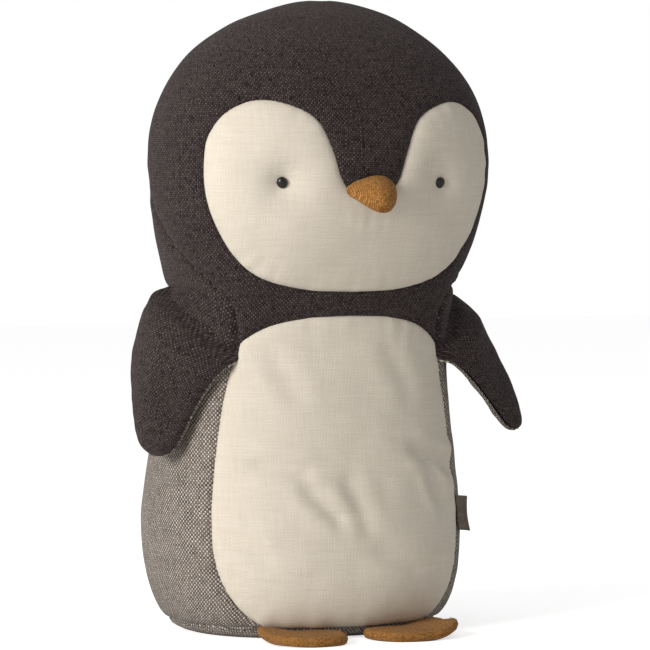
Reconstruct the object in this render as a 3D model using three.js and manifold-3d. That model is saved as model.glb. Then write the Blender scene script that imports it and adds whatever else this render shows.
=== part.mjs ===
// A stuffed penguin toy, 250 mm tall, as the pieces it is sewn from.
// Millimetres. +Z is up, the penguin faces -Y, its own right side is -X, and the origin is
// the centre of its base, on the surface that it stands on.
import * as THREE from "three";
import { mergeVertices } from "three/addons/utils/BufferGeometryUtils.js";
import Module from "manifold-3d";

// Driving dimensions.
const CLOTH = 1.2; // thickness of a fabric panel with its seam allowance
const GAP = 0.3; // clearance between neighbouring pieces
const NECK_HEIGHT = 136; // where the back of the head is sewn to the back of the body
const BASE_SEAM_HEIGHT = 3;
const ROUNDNESS = 2.3; // exponent of the body's sections: 2 is an ellipse, more is boxier
const FORM_SEGMENTS = 28; // round the body
const FORM_RINGS = 20; // from the base to the crown
const FAR = 150; // past every side of the penguin

// The stuffed body's sections: height, half width, reach to the front and reach to the back.
const SECTIONS = [
  [0, 48, 38, 46],
  [2.5, 53.5, 45.5, 52],
  [10, 58, 50.5, 55.5],
  [24, 62.5, 52.5, 58.5],
  [45, 64, 50.5, 59],
  [70, 61.5, 47.5, 54],
  [100, 58, 44, 43],
  [125, 57.5, 43, 37.5],
  [143, 61, 52, 37],
  [162, 66.5, 60.5, 37],
  [186, 69.5, 63.5, 36],
  [208, 66, 60, 33],
  [228, 53, 49, 25],
  [241, 35, 35, 11],
  [248, 16, 22, -5],
  [250, 0, 14, -14],
];

// One half of each outline that is symmetric about the middle, from the middle outwards.
const FACE_HALF = [
  [0, 174.5], [9, 174.8], [12.5, 179], [16.5, 191], [22.5, 203], [33, 208.7], [43.5, 210.3], [54, 206],
  [60.5, 197], [62.3, 185], [60.5, 170], [54, 155], [41, 141.5], [22, 135.8], [0, 134.6],
];
const BELLY_TOP_HALF = [[0, 125.5], [20, 124.4], [34, 121], [44, 114], [52, 102], [75, 60]];
// The side seams seen from the side (y, z), from the floor up to the neck and then over the head.
const SIDE_SEAM = [[-40, -2], [-35, 12], [-30.5, 30], [-28, 58], [-28, 90], [-31, 115], [-32, NECK_HEIGHT]];
const HEAD_SEAM = [[-32, NECK_HEIGHT], [-10, 158], [8, 180], [20, 204], [22, 224], [12, 262]];

// The part of the side that the wing's outer cloth covers, between the neck, the side seam and the wing's root.
const SHOULDER = [[-60, 108], [-28, 108], [17.7, NECK_HEIGHT + 1], [17.7, FAR], [-60, FAR]];

const EYE = { x: 33, z: 178, radius: 2.2, depth: 1.5, shank: 0.6, shankLength: 7, thread: 0.5 };
const DIMPLE = { depth: 3.5, spread: 8 }; // how far, and how widely, the thread pulls each eye in
const BEAK = { y: -61, z: 174.5, halfWidth: 12, length: 17, halfHeight: 6.8, droop: 5.5, taper: 0.45, fullness: 0.6 };
const POUCH = { y: 5, z: 15, halfWidth: 40, halfDepth: 36, halfHeight: 11 };

// A wing's outline, from the middle of its sewn edge: u runs back and v runs up the wing.
const WING = {
  outline: [
    [-26, -9], [-22.5, -18], [-20, -27], [-17.5, -40], [-15, -50], [-8, -55], [-1.5, -53],
    [5, -46], [13, -34], [19.5, -21], [21, -8], [18.5, 3], [6, 0.5], [-9, -4],
  ],
  centre: [0, -24],
  halfThickness: 5.5,
  bulge: 4.5, // how far the wing curves round the body across its width
  halfWidth: 20,
  root: [-58.4, -11.9, 124.5], // the middle of the sewn edge on the right side
  tip: [-69, -0.4, 69],
  facing: [-0.93, -0.36, 0], // the way the outer face looks
  hingeFront: [-25, -8.5],
  hingeBack: [18, 4],
};
const LEFT_WING_LIFT = 31; // degrees that the left wing stands out further than the right one

const FOOT = {
  outline: [
    [7, -51], [5.5, -57], [11, -65.5], [22, -68.5], [35, -65.5], [43, -57], [43.5, -47], [40.5, -41.5],
    [29, -46.2], [18, -48.5],
  ],
  centre: [24, -56],
  halfThickness: 2.6,
  squareness: 0.4, // under 1 gives the foot flat faces and a full edge
};
const LABEL = { x: 56.3, y: -29.2, z: 46, width: 8, height: 14.5, layer: 0.4, slit: 0.4, direction: 20 };

const COLOURS = {
  charcoal: [0x4a4341, 0.95], cream: [0xe2d8c3, 0.9], greyWeave: [0x8f847b, 0.92],
  mustard: [0xa8743a, 0.9], bead: [0x120f0e, 0.3], fibre: [0xf0eee8, 1], thread: [0x2a2523, 0.8],
  pouchCloth: [0xd8d2c4, 0.95], labelCloth: [0x8a7d70, 0.9],
};

const wasm = await Module();
wasm.setup();

// ---- Solids ----

// A closed geometry with one position for each corner, and its faces pointing out.
function merged(geometry) {
  const bare = new THREE.BufferGeometry();
  bare.setAttribute("position", geometry.getAttribute("position"));
  bare.setIndex(geometry.getIndex());
  const closed = mergeVertices(bare, 1e-3);
  const { index, attributes } = closed;
  const [a, b, c] = [0, 1, 2].map(() => new THREE.Vector3());
  let volume = 0;
  for (let i = 0; i < index.count; i += 3) {
    a.fromBufferAttribute(attributes.position, index.getX(i));
    b.fromBufferAttribute(attributes.position, index.getX(i + 1));
    c.fromBufferAttribute(attributes.position, index.getX(i + 2));
    volume += a.dot(b.cross(c));
  }
  if (volume < 0) closed.setIndex(Array.from(index.array).reverse());
  return closed;
}

// A closed geometry as a manifold-3d solid.
function solid(geometry) {
  const { index, attributes } = merged(geometry);
  const vertProperties = new Float32Array(attributes.position.array);
  return new wasm.Manifold(
    new wasm.Mesh({ numProp: 3, vertProperties, triVerts: new Uint32Array(index.array) }),
  );
}

// A manifold-3d solid as a three.js geometry.
function geometryOf(made) {
  const { vertProperties, triVerts } = made.getMesh();
  const geometry = new THREE.BufferGeometry();
  geometry.setAttribute("position", new THREE.BufferAttribute(vertProperties, 3));
  geometry.setIndex(new THREE.BufferAttribute(triVerts, 1));
  return geometry;
}

// The same closed surface, moved along its normals: inwards where distance is negative.
function offset(geometry, distance) {
  const moved = merged(geometry);
  moved.computeVertexNormals();
  const { position, normal } = moved.attributes;
  for (let i = 0; i < position.count; i++) {
    position.setXYZ(
      i,
      position.getX(i) + normal.getX(i) * distance,
      position.getY(i) + normal.getY(i) * distance,
      position.getZ(i) + normal.getZ(i) * distance,
    );
  }
  return moved;
}

function box(low, high) {
  const size = low.map((value, axis) => high[axis] - value);
  const geometry = new THREE.BoxGeometry(...size);
  geometry.translate(...low.map((value, axis) => (value + high[axis]) / 2));
  return solid(geometry);
}

// A rod of a given radius from one point to another.
function rod(from, to, radius, segments = 8) {
  const along = new THREE.Vector3().subVectors(to, from);
  const geometry = new THREE.CylinderGeometry(radius, radius, along.length(), segments);
  const turn = new THREE.Quaternion().setFromUnitVectors(new THREE.Vector3(0, 1, 0), along.clone().normalize());
  geometry.applyQuaternion(turn);
  geometry.translate(...from.clone().addScaledVector(along, 0.5).toArray());
  return solid(geometry);
}

// ---- Outlines ----

function smoothLine(points, steps, closed = false) {
  const corners = points.map(([x, y]) => new THREE.Vector3(x, y, 0));
  const curve = new THREE.CatmullRomCurve3(corners, closed, "centripetal");
  const line = curve.getPoints(steps).map((p) => new THREE.Vector2(p.x, p.y));
  return closed ? line.slice(0, -1) : line;
}

// The other half of a symmetric outline, walked back towards the middle.
function mirrored(half) {
  return half.slice(1, -1).reverse().map(([x, y]) => [-x, y]);
}

// A closed outline moved outwards by a distance.
function grown(outline, distance) {
  const way = THREE.ShapeUtils.isClockWise(outline) ? -1 : 1;
  return outline.map((point, i) => {
    const before = outline[(i + outline.length - 1) % outline.length];
    const after = outline[(i + 1) % outline.length];
    const along = new THREE.Vector2().subVectors(after, before).normalize();
    return new THREE.Vector2(point.x + way * along.y * distance, point.y - way * along.x * distance);
  });
}

// An outline in x and z, cut through everything in front of the middle.
function cutFromFront(outline) {
  const geometry = new THREE.ExtrudeGeometry(new THREE.Shape(outline), { depth: FAR, bevelEnabled: false });
  geometry.rotateX(Math.PI / 2);
  return solid(geometry);
}

// An outline in y and z, cut through from one side to the other.
function cutFromSide(outline) {
  const geometry = new THREE.ExtrudeGeometry(new THREE.Shape(outline), { depth: 2 * FAR, bevelEnabled: false });
  geometry.translate(0, 0, -FAR);
  const yzx = new THREE.Matrix4().makeBasis(
    new THREE.Vector3(0, 1, 0), new THREE.Vector3(0, 0, 1), new THREE.Vector3(1, 0, 0),
  );
  geometry.applyMatrix4(yzx);
  return solid(geometry);
}

// ---- The stuffed body's form ----

const girths = new THREE.CatmullRomCurve3(
  SECTIONS.map(([height, halfWidth, front]) => new THREE.Vector3(halfWidth, front, height)), false, "catmullrom",
);
const backs = new THREE.CatmullRomCurve3(
  SECTIONS.map(([height, , , back]) => new THREE.Vector3(back, 0, height)), false, "catmullrom",
);

const power = (value) => Math.sign(value) * Math.abs(value) ** (2 / ROUNDNESS);

// How far the thread through the head pulls the face in at a point.
function dimple(x, z) {
  const away = Math.hypot(Math.abs(x) - EYE.x, z - EYE.z);
  return DIMPLE.depth * Math.exp(-((away / DIMPLE.spread) ** 2));
}

// A point of the form: share of the way from base to crown, and angle round from the front.
function formPoint(share, angle) {
  const { x: halfWidth, y: front, z: height } = girths.getPoint(share);
  const { x: back } = backs.getPoint(share);
  const x = Math.max(halfWidth, 0) * power(Math.sin(angle));
  const y = (back - front) / 2 - (Math.max(back + front, 0) / 2) * power(Math.cos(angle));
  const isFront = Math.cos(angle) > 0;
  return new THREE.Vector3(x, isFront ? y + dimple(x, height) : y, height);
}

function bodyForm() {
  const geometry = new THREE.SphereGeometry(1, FORM_SEGMENTS, FORM_RINGS);
  const { position, uv } = geometry.attributes;
  for (let i = 0; i < position.count; i++) {
    const isFloor = uv.getY(i) < 1e-6;
    const share = (uv.getY(i) * (FORM_RINGS) - 1) / (FORM_RINGS - 1);
    const point = isFloor
      ? new THREE.Vector3(0, 0, 0)
      : formPoint(Math.min(Math.max(share, 0), 1), uv.getX(i) * 2 * Math.PI);
    position.setXYZ(i, ...point.toArray());
  }
  return geometry;
}

// ---- Pillows: two faces that meet in a seam round an outline ----

function pillow({ outline, centre, halfThickness, squareness = 1, rings = 6, segments = 20 }, place) {
  const line = smoothLine(outline, segments, true);
  const middle = new THREE.Vector2(...centre);
  const geometry = new THREE.SphereGeometry(1, segments, rings);
  const { position, uv } = geometry.attributes;
  for (let i = 0; i < position.count; i++) {
    const polar = (1 - uv.getY(i)) * Math.PI;
    const rim = line[(Math.round(uv.getX(i) * segments) + segments) % segments];
    const flat = middle.clone().lerp(rim, Math.sin(polar) ** squareness);
    const up = Math.sign(Math.cos(polar)) * Math.abs(Math.cos(polar)) ** squareness;
    position.setXYZ(i, ...place(flat.x, flat.y, up * halfThickness).toArray());
  }
  return geometry;
}

// The two faces and the filling of a pillow. inner is a solid that holds its lower face.
function pillowPieces(form, isUpper) {
  const hollow = solid(offset(form, -CLOTH));
  const skin = solid(form).subtract(hollow);
  return {
    upper: skin.intersect(isUpper),
    lower: skin.subtract(isUpper),
    filling: solid(offset(form, -CLOTH - 2 * GAP)).intersect(hollow),
  };
}

// ---- The nodes ----

const penguin = new THREE.Group();

function add(name, made, colour, parent = penguin, origin = new THREE.Vector3()) {
  const [hex, roughness] = COLOURS[colour];
  const material = new THREE.MeshStandardMaterial({ color: hex, roughness, metalness: 0 });
  const mesh = new THREE.Mesh(geometryOf(made).translate(...origin.clone().negate().toArray()), material);
  mesh.name = name;
  parent.add(mesh);
  return mesh;
}

const form = bodyForm();
const outer = solid(form);
const inner = solid(offset(form, -CLOTH));
const stuffing = solid(offset(form, -CLOTH - GAP));
const outside = solid(offset(form, GAP));

function faceOutline() {
  return smoothLine([...FACE_HALF, ...mirrored(FACE_HALF)], 44, true);
}

function bellyOutline() {
  const top = [...BELLY_TOP_HALF.slice(1).reverse().map(([x, z]) => [-x, z]), ...BELLY_TOP_HALF];
  return [...smoothLine(top, 18), new THREE.Vector2(FAR, -FAR), new THREE.Vector2(-FAR, -FAR)];
}

function rearOutline() {
  return [
    ...smoothLine(SIDE_SEAM, 10), ...smoothLine(HEAD_SEAM, 8).slice(1),
    new THREE.Vector2(FAR, 2 * FAR), new THREE.Vector2(FAR, -FAR), new THREE.Vector2(-40, -FAR),
  ];
}

// The body's skin, cut into its sewn panels.
function addSkin() {
  const skin = outer.subtract(inner);
  const upTo = (height) => box([-FAR, -FAR, -FAR], [FAR, FAR, height]);
  add("base_panel", skin.intersect(upTo(BASE_SEAM_HEIGHT)), "charcoal");

  const raised = skin.subtract(upTo(BASE_SEAM_HEIGHT + GAP));
  const rear = raised.intersect(cutFromSide(rearOutline()));
  add("head_back_panel", rear.subtract(upTo(NECK_HEIGHT + GAP)), "charcoal");
  const shoulders = (gap) => cutFromSide(grown(SHOULDER.map((point) => new THREE.Vector2(...point)), gap));
  const right = box([-FAR, -FAR, -FAR], [-GAP / 2, FAR, FAR]);
  const left = box([GAP / 2, -FAR, -FAR], [FAR, FAR, FAR]);
  const belowNeck = rear.intersect(upTo(NECK_HEIGHT));
  add("shoulder_panel_right", belowNeck.intersect(shoulders(0)).intersect(right), "charcoal");
  add("shoulder_panel_left", belowNeck.intersect(shoulders(0)).intersect(left), "charcoal");
  const lowerRear = belowNeck.subtract(shoulders(GAP));
  add("back_panel_right", lowerRear.intersect(right), "greyWeave");
  add("back_panel_left", lowerRear.intersect(left), "greyWeave");

  const front = raised.subtract(cutFromSide(grown(rearOutline(), GAP)));
  const holes = [-1, 1].map((side) => eyeHole(side));
  const face = front.intersect(cutFromFront(faceOutline()));
  add("face_panel", face.subtract(holes[0]).subtract(holes[1]), "cream");
  const aroundFace = front.subtract(cutFromFront(grown(faceOutline(), GAP)));
  add("belly_panel", aroundFace.intersect(cutFromFront(bellyOutline())), "cream");
  add("hood_front_panel", aroundFace.subtract(cutFromFront(grown(bellyOutline(), GAP))), "charcoal");
}

// The face's surface in front of a place.
function faceSurface(x, z) {
  const mesh = new THREE.Mesh(form, new THREE.MeshBasicMaterial({ side: THREE.DoubleSide }));
  const ray = new THREE.Raycaster(new THREE.Vector3(x, -FAR, z), new THREE.Vector3(0, 1, 0));
  return ray.intersectObject(mesh)[0].point;
}

function eyePlaces(side) {
  const front = faceSurface(side * EYE.x, EYE.z);
  const back = front.clone().add(new THREE.Vector3(0, EYE.shankLength, 0));
  return { front, back };
}

function eyeHole(side) {
  const { front, back } = eyePlaces(side);
  return rod(front.clone().setY(-FAR), back, EYE.shank + GAP);
}

// A bead on a shank that goes back through the face, and the thread that pulls both eyes in.
function addEyes() {
  for (const [side, name] of [[-1, "right"], [1, "left"]]) {
    const { front, back } = eyePlaces(side);
    const bead = new THREE.SphereGeometry(1, 12, 8);
    bead.scale(EYE.radius, EYE.depth, EYE.radius * 1.12);
    bead.translate(front.x, front.y - EYE.depth - GAP, front.z);
    const shankFrom = front.clone().setY(front.y - EYE.depth - GAP);
    add(`eye_bead_${name}`, solid(bead).add(rod(shankFrom, back, EYE.shank)), "bead");
  }
  const level = eyePlaces(1).back.y - EYE.thread;
  const reach = EYE.x - EYE.shank - GAP;
  const from = new THREE.Vector3(-reach, level, EYE.z);
  const to = new THREE.Vector3(reach, level, EYE.z);
  add("eye_thread", rod(from, to, EYE.thread), "thread");
  const channel = rod(from.clone().setX(-EYE.x), to.clone().setX(EYE.x), EYE.thread + GAP);
  return channel.add(eyeHole(-1)).add(eyeHole(1));
}

// The filling inside the skin: firm in the head, soft in the body, and a weight in the bottom.
function addFilling(eyeChannel) {
  const aboveNeck = box([-FAR, -FAR, NECK_HEIGHT + GAP], [FAR, FAR, 2 * FAR]);
  add("head_filling", stuffing.intersect(aboveNeck).subtract(eyeChannel), "fibre");
  const belowNeck = box([-FAR, -FAR, -FAR], [FAR, FAR, NECK_HEIGHT]);
  const pouchForm = (grow) => {
    const geometry = new THREE.SphereGeometry(1, 20, 8);
    geometry.rotateX(Math.PI / 2);
    geometry.scale(POUCH.halfWidth + grow, POUCH.halfDepth + grow, POUCH.halfHeight + grow);
    geometry.translate(0, POUCH.y, POUCH.z);
    return solid(geometry);
  };
  const overPouch = box([-FAR, -FAR, POUCH.z], [FAR, FAR, FAR]).add(pouchForm(GAP));
  add("weight_pouch", pouchForm(0), "pouchCloth");
  const lining = stuffing.intersect(belowNeck).intersect(overPouch);
  add("body_filling", lining.subtract(pouchForm(GAP)), "fibre");
}

// The beak: a small stuffed cone, sewn to the face where the hood's point ends.
function addBeak() {
  const geometry = new THREE.SphereGeometry(1, 16, 10);
  geometry.rotateX(Math.PI / 2);
  const { position } = geometry.attributes;
  for (let i = 0; i < position.count; i++) {
    const ahead = Math.max(-position.getY(i), 0);
    const around = Math.hypot(position.getX(i), position.getZ(i));
    const slim = around > 0 ? around ** (BEAK.fullness - 1) * (1 - BEAK.taper * ahead ** 2) : 0;
    position.setXYZ(
      i,
      position.getX(i) * BEAK.halfWidth * slim,
      BEAK.y + position.getY(i) * BEAK.length,
      BEAK.z + position.getZ(i) * BEAK.halfHeight * slim - BEAK.droop * ahead,
    );
  }
  const skin = solid(geometry).subtract(solid(offset(geometry, -CLOTH)));
  add("beak_skin", skin.subtract(outside), "mustard");
  add("beak_filling", solid(offset(geometry, -CLOTH - GAP)).subtract(outside), "fibre");
}

// Each wing hangs at the body's side, and its group lifts it out about its sewn edge.
function addWing(side, name, lift) {
  const root = new THREE.Vector3(...WING.root);
  const up = new THREE.Vector3(...WING.tip).sub(root).normalize().negate();
  const outward = new THREE.Vector3(...WING.facing);
  outward.addScaledVector(up, -outward.dot(up)).normalize();
  const back = new THREE.Vector3().crossVectors(outward, up);
  const place = (u, v, w) => {
    const out = w + WING.bulge * (1 - (u / WING.halfWidth) ** 2);
    const point = root.clone().addScaledVector(back, u).addScaledVector(up, v).addScaledVector(outward, out);
    point.x *= -side;
    return point;
  };
  const front = place(...WING.hingeFront, 0);
  const axis = place(...WING.hingeBack, 0).sub(front).normalize();
  const group = new THREE.Group();
  group.position.copy(front);
  group.quaternion.setFromAxisAngle(axis, -side * THREE.MathUtils.degToRad(lift));
  penguin.add(group);

  const wing = pillow(WING, place);
  const outerHalf = pillow({ ...WING, outline: grownAbout(WING, 1.3) }, (u, v, w) => place(u, v, Math.max(w, 0) * 3));
  const { upper, lower, filling } = pillowPieces(wing, solid(outerHalf));
  add(`wing_outer_${name}`, upper, "charcoal", group, front);
  add(`wing_inner_${name}`, lower, "greyWeave", group, front);
  add(`wing_filling_${name}`, filling, "fibre", group, front);
}

function grownAbout({ outline, centre }, scale) {
  return outline.map((point) => point.map((value, axis) => centre[axis] + (value - centre[axis]) * scale));
}

function addFoot(side, name) {
  const place = (u, v, w) => new THREE.Vector3(side * u, v, FOOT.halfThickness + w);
  const foot = pillow({ ...FOOT, rings: 8, segments: 18 }, place);
  const upper = box([-FAR, -FAR, FOOT.halfThickness], [FAR, FAR, FAR]);
  const pieces = pillowPieces(foot, upper);
  add(`foot_top_${name}`, pieces.upper, "mustard");
  add(`foot_sole_${name}`, pieces.lower, "mustard");
  const inset = { ...FOOT, outline: grownAbout(FOOT, 0.78), halfThickness: FOOT.halfThickness - CLOTH - GAP };
  add(`foot_padding_${name}`, solid(pillow({ ...inset, rings: 6, segments: 12 }, place)), "fibre");
}

// A folded ribbon in the left side seam, as two layers that are joined along the outer fold.
function addLabel() {
  const { width, height, layer } = LABEL;
  const ribbon = new THREE.BoxGeometry(width, 2 * layer + LABEL.slit, height);
  ribbon.translate(width / 2, 0, 0);
  const slit = new THREE.BoxGeometry(width, LABEL.slit, height + 2);
  slit.translate(width / 2 - 2 * layer, 0, 0);
  const group = new THREE.Group();
  group.position.set(LABEL.x, LABEL.y, LABEL.z);
  group.rotation.z = -THREE.MathUtils.degToRad(LABEL.direction);
  penguin.add(group);
  add("side_label", solid(ribbon).subtract(solid(slit)), "labelCloth", group);
}

addSkin();
addFilling(addEyes());
addBeak();
addWing(-1, "right", 0);
addWing(1, "left", LEFT_WING_LIFT);
addFoot(-1, "right");
addFoot(1, "left");
addLabel();

export default penguin;
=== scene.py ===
# A stuffed linen penguin, 250 mm tall: charcoal hood and wings, cream face and belly,
# grey cross-dyed back, mustard beak and feet. Sizes are in mm unless a name says otherwise.
import math

import bpy
import numpy as np
from mathutils import Matrix, Vector, kdtree, noise
from mathutils.bvhtree import BVHTree


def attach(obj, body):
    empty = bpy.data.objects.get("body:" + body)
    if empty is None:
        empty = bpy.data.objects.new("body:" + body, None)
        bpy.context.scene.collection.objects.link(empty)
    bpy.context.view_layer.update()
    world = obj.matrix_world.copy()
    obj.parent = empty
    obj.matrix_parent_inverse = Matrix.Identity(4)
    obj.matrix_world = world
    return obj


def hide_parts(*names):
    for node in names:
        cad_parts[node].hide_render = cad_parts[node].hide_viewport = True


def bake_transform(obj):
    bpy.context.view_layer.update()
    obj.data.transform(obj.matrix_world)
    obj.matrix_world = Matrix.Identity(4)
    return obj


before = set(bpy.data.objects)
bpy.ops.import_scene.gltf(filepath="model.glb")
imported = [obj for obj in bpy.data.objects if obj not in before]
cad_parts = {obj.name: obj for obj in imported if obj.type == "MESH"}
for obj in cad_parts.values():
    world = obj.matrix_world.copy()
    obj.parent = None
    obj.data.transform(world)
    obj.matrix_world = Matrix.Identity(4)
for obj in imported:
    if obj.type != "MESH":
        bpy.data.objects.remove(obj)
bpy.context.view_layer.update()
mm = 0.001
print("frame loaded")

view = {
    "azimuthDeg": -25.0,    # round from the front, towards the penguin's right side
    "distance": 1500.0,
    "eyeHeight": 178.0,
    "aimHeight": 120.8,
    "aimAside": 8.0,
    "lensMm": 207.7,
    "sensorMm": 36.0,
    "nearest": 50.0,
}

studio = {
    # name, place, side length, power in W, colour
    "lamps": [
        ("softKey", (-1220, -470, 520), 560, 16.2, (1.0, 0.985, 0.965)),
        ("softFill", (700, -1000, 500), 900, 0.7, (1.0, 1.0, 1.0)),
        ("softBack", (300, 900, 700), 800, 0.5, (1.0, 1.0, 1.0)),
    ],
    "lampsAim": (0, 0, 120),
    "roomLight": 0.41,      # how strongly the white room lights the toy
    "roomSeen": 1.0,        # and how bright it looks to the camera
    "floorHalf": 3000.0,
    "floorTone": 0.85,
    "floorGlow": 0.62,      # the floor looks white, but lights the toy only as pale card would
}


def linear(hexColour):
    channels = [int(hexColour[i:i + 2], 16) / 255 for i in (0, 2, 4)]
    return [c / 12.92 if c <= 0.04045 else ((c + 0.055) / 1.055) ** 2.4 for c in channels] + [1.0]


def addNode(tree, kind, values=None, **settings):
    # values maps a socket to a number, a colour or another node's output
    node = tree.nodes.new(kind)
    for key, value in settings.items():
        setattr(node, key, value)
    for key, value in (values or {}).items():
        if isinstance(value, bpy.types.NodeSocket):
            tree.links.new(value, node.inputs[key])
        else:
            node.inputs[key].default_value = value
    return node


def newMaterial(name, roughness, specular=0.5, sheen=0.0, sheenRoughness=0.5, sheenTint=(1, 1, 1, 1)):
    material = bpy.data.materials.new(name)
    material.use_nodes = True
    shader = material.node_tree.nodes["Principled BSDF"]
    shader.inputs["Roughness"].default_value = roughness
    shader.inputs["Specular IOR Level"].default_value = specular
    shader.inputs["Sheen Weight"].default_value = sheen
    shader.inputs["Sheen Roughness"].default_value = sheenRoughness
    shader.inputs["Sheen Tint"].default_value = sheenTint
    return material, material.node_tree, shader


def linkObject(name, data):
    item = bpy.data.objects.new(name, data)
    bpy.context.scene.collection.objects.link(item)
    return item


def aimed(place, target):
    turn = (target - place).to_track_quat("-Z", "Y").to_matrix().to_4x4()
    return Matrix.Translation(place) @ turn


def addCamera():
    turn = math.radians(view["azimuthDeg"])
    aside = Vector((math.cos(turn), math.sin(turn), 0)) * view["aimAside"] * mm
    back = Vector((math.sin(turn), -math.cos(turn), 0)) * view["distance"] * mm
    eye = back + aside + Vector((0, 0, view["eyeHeight"] * mm))
    data = bpy.data.cameras.new("camera")
    data.lens = view["lensMm"]
    data.sensor_width = view["sensorMm"]
    data.clip_start = view["nearest"] * mm
    camera = linkObject("camera", data)
    camera.matrix_world = aimed(eye, aside + Vector((0, 0, view["aimHeight"] * mm)))
    bpy.context.scene.camera = camera


def addLights():
    for name, place, size, power, colour in studio["lamps"]:
        data = bpy.data.lights.new(name, "AREA")
        data.size = size * mm
        data.energy = power
        data.color = colour
        linkObject(name, data).matrix_world = aimed(Vector(place) * mm, Vector(studio["lampsAim"]) * mm)
    world = bpy.data.worlds.new("studio")
    world.use_nodes = True
    tree = world.node_tree
    seen = addNode(tree, "ShaderNodeLightPath").outputs["Is Camera Ray"]
    strength = addNode(tree, "ShaderNodeMapRange", {
        "Value": seen, "To Min": studio["roomLight"], "To Max": studio["roomSeen"]}).outputs[0]
    background = tree.nodes["Background"]
    background.inputs["Color"].default_value = (1.0, 1.0, 1.0, 1.0)
    tree.links.new(strength, background.inputs["Strength"])
    bpy.context.scene.world = world
    bpy.context.scene.view_settings.view_transform = "Standard"


def addFloor():
    half = studio["floorHalf"] * mm
    corners = [(-half, -half, 0), (half, -half, 0), (half, half, 0), (-half, half, 0)]
    mesh = bpy.data.meshes.new("floor")
    mesh.from_pydata(corners, [], [(0, 1, 2, 3)])
    floor = linkObject("floor", mesh)
    material, tree, shader = newMaterial("paleFloor", 0.9)
    shader.inputs["Base Color"].default_value = (*[studio["floorTone"]] * 3, 1)
    shader.inputs["Emission Color"].default_value = (1, 1, 1, 1)
    seen = addNode(tree, "ShaderNodeLightPath").outputs["Is Camera Ray"]
    glow = addNode(tree, "ShaderNodeMapRange", {"Value": seen, "To Max": studio["floorGlow"]}).outputs[0]
    tree.links.new(glow, shader.inputs["Emission Strength"])
    mesh.materials.append(material)


addCamera()
addLights()
addFloor()
print("camera, lights and floor ready")

# The weave as sums on two counts: threads across and threads along. A warp thread is on top where
# the two waves agree, and each thread is highest where it crosses over.
weaveSteps = [
    ("angleX", "MULTIPLY", "across", math.pi), ("angleY", "MULTIPLY", "along", math.pi),
    ("waveX", "SINE", "angleX"), ("waveY", "SINE", "angleY"),
    ("agree", "MULTIPLY", "waveX", "waveY"),
    ("isWarp", "GREATER_THAN", "agree", 0.0), ("isWeft", "SUBTRACT", 1.0, "isWarp"),
    ("sizeX", "ABSOLUTE", "waveX"), ("sizeY", "ABSOLUTE", "waveY"),
    ("humpX", "POWER", "sizeX", 0.7), ("humpY", "POWER", "sizeY", 0.7),
    ("bentX", "MULTIPLY_ADD", "humpX", 0.5, 0.5), ("bentY", "MULTIPLY_ADD", "humpY", 0.5, 0.5),
    ("warpHeight", "MULTIPLY", "humpX", "bentY"), ("weftHeight", "MULTIPLY", "humpY", "bentX"),
    ("warpTop", "MULTIPLY", "warpHeight", "isWarp"), ("weftTop", "MULTIPLY", "weftHeight", "isWeft"),
    ("height", "ADD", "warpTop", "weftTop"),
    ("warpSlub", "MULTIPLY", "warpShare", "isWarp"), ("weftSlub", "MULTIPLY", "weftShare", "isWeft"),
    ("slub", "ADD", "warpSlub", "weftSlub"),
    ("thickness", "MULTIPLY_ADD", "slub", 0.5, 0.7), ("threadRelief", "MULTIPLY", "height", "thickness"),
]

weave = {
    "wanderScale": 0.17,    # in turns for each thread
    "toneApart": 0.77,      # how far apart neighbouring threads sample their tone
    "warpLayer": 3.1,       # where warp and weft threads sample it
    "weftLayer": 9.7,
    "patchScale": 38.0,     # in turns for each metre
}


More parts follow.
